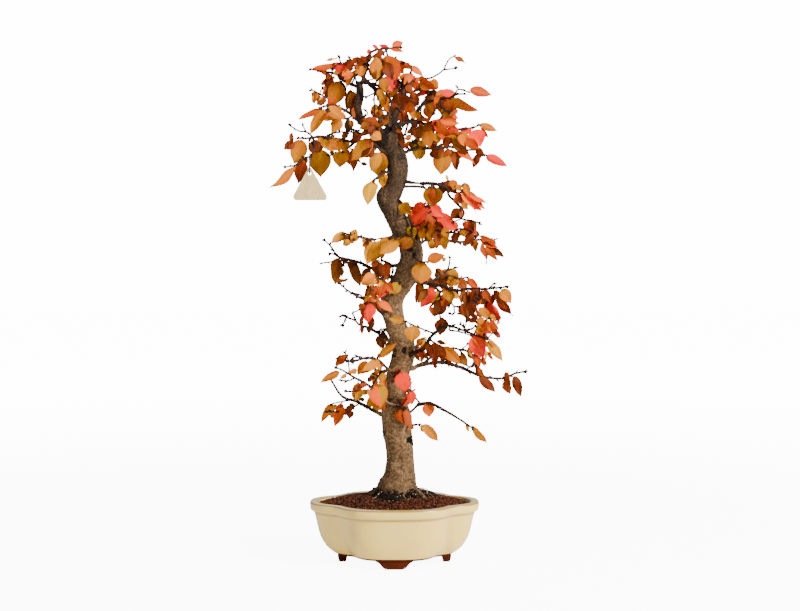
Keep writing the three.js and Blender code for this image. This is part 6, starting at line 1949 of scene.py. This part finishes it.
def dressTag(hang):
    top = hang - Vector((0, 0, tagLook["drop"]))
    half, high, deep = tagLook["width"] / 2, tagLook["height"], tagLook["thickness"] / 2
    outline = []
    for corner in (
        ((-2.9, 1.4), (0, 7.2), (2.9, 1.4)),
        ((half + 0.6, -high + 7.3), (half + 3.4, -high), (half - 2.5, -high)),
        ((-half + 4.4, -high), (-half - 2.6, -high), (-half + 0.4, -high + 7.3)),
    ):
        outline += bend(*(np.array(p, dtype=float) for p in corner), 10)
    center = np.array((0, -high * 0.6))
    points = []
    for side in (-1, 1):
        for inward, inset in ((0, 0.965), (0.2, 0.985), (0.5, 1))[::-side]:
            for p in outline:
                x, z = center + (p - center) * inset
                points.append((x, side * (deep - inward), z))
    pile = Pile()
    pile.add(np.array(points) + np.array(top), ringFaces(6, len(outline)), 0, (1, 1, 1), (0, 0))
    tag = pile.piece("dressed_tag", [tagMaterial()])
    hole = origin + (top + Vector((0, 0, -3.6))) * mm
    drilled(tag, [hole], tagLook["hole"], (math.pi / 2, 0, 0))
    tag.data.polygons.foreach_set("use_smooth", [False] * len(tag.data.polygons))
    ready(tag, "tag_wood", "tag")


def dressCord(hang):  # a loop of two strands, from above the twig through the tag's hole
    topZ = hang.z - tagLook["drop"]
    low, high = topZ - 5, hang.z + 4
    middleZ, halfHigh = (low + high) / 2, (high - low) / 2 - 0.9
    cord = Pile()
    count, twist, sides = cordLook["around"], cordLook["twist"], 7
    for strand in (0, math.pi):
        points = []
        for i in range(count):
            angle = 2 * math.pi * i / count
            out = Vector((0, math.sin(angle), math.cos(angle)))
            y, z = hang.y + cordLook["reach"] * math.sin(angle), middleZ + halfHigh * math.cos(angle)
            wind = strand + cordLook["turns"] * angle
            middle = Vector((hang.x + twist * math.cos(wind), y, z))
            points.append(middle + out * twist * math.sin(wind))
        ring = []
        for i, p in enumerate(points):
            ahead = (points[(i + 1) % count] - points[i - 1]).normalized()
            side = ahead.cross(Vector((1, 0, 0))).normalized()
            other = ahead.cross(side)
            for s in range(sides):
                angle = 2 * math.pi * s / sides
                ring.append(p + (side * math.cos(angle) + other * math.sin(angle)) * cordLook["radius"])
        faces = []
        for i in range(count):
            here, there = i * sides, (i + 1) % count * sides
            for s in range(sides):
                beside = (s + 1) % sides
                faces.append((here + s, there + s, there + beside, here + beside))
        cord.add(ring, faces, 0, (1, 1, 1), (0, 0))
    ready(cord.piece("dressed_tag_cord", [cordMaterial()]), "cord", "tag_cord")


armWood = next(spray for spray in sprays if spray["name"] == "spray_left_arm")["wood"]
armPaths = []
for part in armWood:
    points = placed(part)
    if armPaths:
        points[0] = nearestOn(armPaths, *part["line"][0])
    armPaths.append(evenly(curveThrough(points), 2.5)[0])
hang = nearestOn([armPaths[-1]], *tagLook["hangsAt"])
dressTag(hang)
dressCord(hang)
print("tag")

# Studio

studio = {
    "floorColor": (0.86, 0.86, 0.86),
    "floorGlow": (9.2, 14),  # near the pot, where the dimmer glow is a painted soft shadow round it, and far away
    "backdropGlow": 15,
    "world": 0.72,
    "keyPower": 250,
    "fillPower": 4,
    "backPower": 18,
    "lens": 63.34,  # for a sensor 36 mm wide
    "shift": (5.5 / 800, -48.5 / 800),
}


def stagePiece(name, points, faces, seenBy):  # a piece of the studio, seen by the camera or by light alone
    mesh = bpy.data.meshes.new(name)
    mesh.from_pydata(points, [], faces)
    made = bpy.data.objects.new(name, mesh)
    bpy.context.collection.objects.link(made)
    onlyCamera = seenBy == "camera"
    made.visible_camera = onlyCamera
    for sight in ("diffuse", "glossy", "transmission", "shadow"):
        setattr(made, "visible_" + sight, not onlyCamera)
    return made


def floorPaper(glow):
    tree = Tree("floor_paper")
    tree.principled(Base_Color=(*studio["floorColor"], 1), Roughness=0.9, Specular_IOR_Level=0.1)
    if glow:
        away = tree.add("ShaderNodeVectorMath", {"operation": "LENGTH"}, {0: tree.places()}).out("Value")
        near, far = studio["floorGlow"]
        # the glow dims towards the pot: a painted soft shadow round it
        shade = tree.mix(away.ramp(0.4, 2.5), [near / far] * 3, (1, 1, 1))
        tree.principled(Emission_Color=shade, Emission_Strength=far)
    return tree.material


def studioFloor():
    for name, seenBy, half, z in (("floor", "camera", 9, 0), ("floor_bounce", "light", 3, -0.0004)):
        corners = [(-half, -half, z), (half, -half, z), (half, half, z), (-half, half, z)]
        floor = stagePiece(name, corners, [(0, 1, 2, 3)], seenBy)
        floor.data.materials.append(floorPaper(seenBy == "camera"))
    points, faces = [], []
    rings, sides, radius = 17, 48, 14
    for i in range(rings):
        tilt = math.pi * (i + 0.001) / (rings - 0.998)
        for s in range(sides):
            turn = 2 * math.pi * s / sides
            across = radius * math.sin(tilt)
            points.append((across * math.cos(turn), across * math.sin(turn), radius * math.cos(tilt)))
    backdrop = stagePiece("backdrop", points, ringFaces(rings, sides), "camera")
    tree = Tree("backdrop_paper")
    tree.principled(Base_Color=(0, 0, 0, 1), Specular_IOR_Level=0)
    tree.principled(Emission_Color=(1, 1, 1, 1), Emission_Strength=studio["backdropGlow"])
    backdrop.data.materials.append(tree.material)


def softLight(name, place, aim, size, power, color=(1, 1, 1)):
    light = bpy.data.lights.new(name, "AREA")
    light.size, light.energy, light.color = size, power, color
    holder = bpy.data.objects.new(name, light)
    holder.location = place
    holder.rotation_euler = (Vector(aim) - Vector(place)).to_track_quat("-Z", "Y").to_euler()
    bpy.context.collection.objects.link(holder)


studioFloor()
softLight("key", (1.9, -1.5, 1.5), (0, 0, 0.32), 0.9, studio["keyPower"], (1, 0.985, 0.96))
softLight("fill", (-1.8, -1.3, 0.9), (0, 0, 0.35), 1.2, studio["fillPower"], (0.97, 0.98, 1))
softLight("back", (-0.4, 1.8, 1.6), (0, 0, 0.4), 1.2, studio["backPower"])
world = bpy.data.worlds.new("studio")
world.use_nodes = True
world.node_tree.nodes["Background"].inputs["Color"].default_value = (1, 1, 1, 1)
world.node_tree.nodes["Background"].inputs["Strength"].default_value = studio["world"]
bpy.context.scene.world = world

lens = bpy.data.cameras.new("camera")
lens.sensor_width, lens.lens = 36, studio["lens"]
lens.shift_x, lens.shift_y = studio["shift"]
camera = bpy.data.objects.new("camera", lens)
camera.location = origin + Vector((0, -viewDistance, eyeHeight)) * mm
camera.rotation_euler = (math.pi / 2, 0, 0)
bpy.context.collection.objects.link(camera)
bpy.context.scene.camera = camera
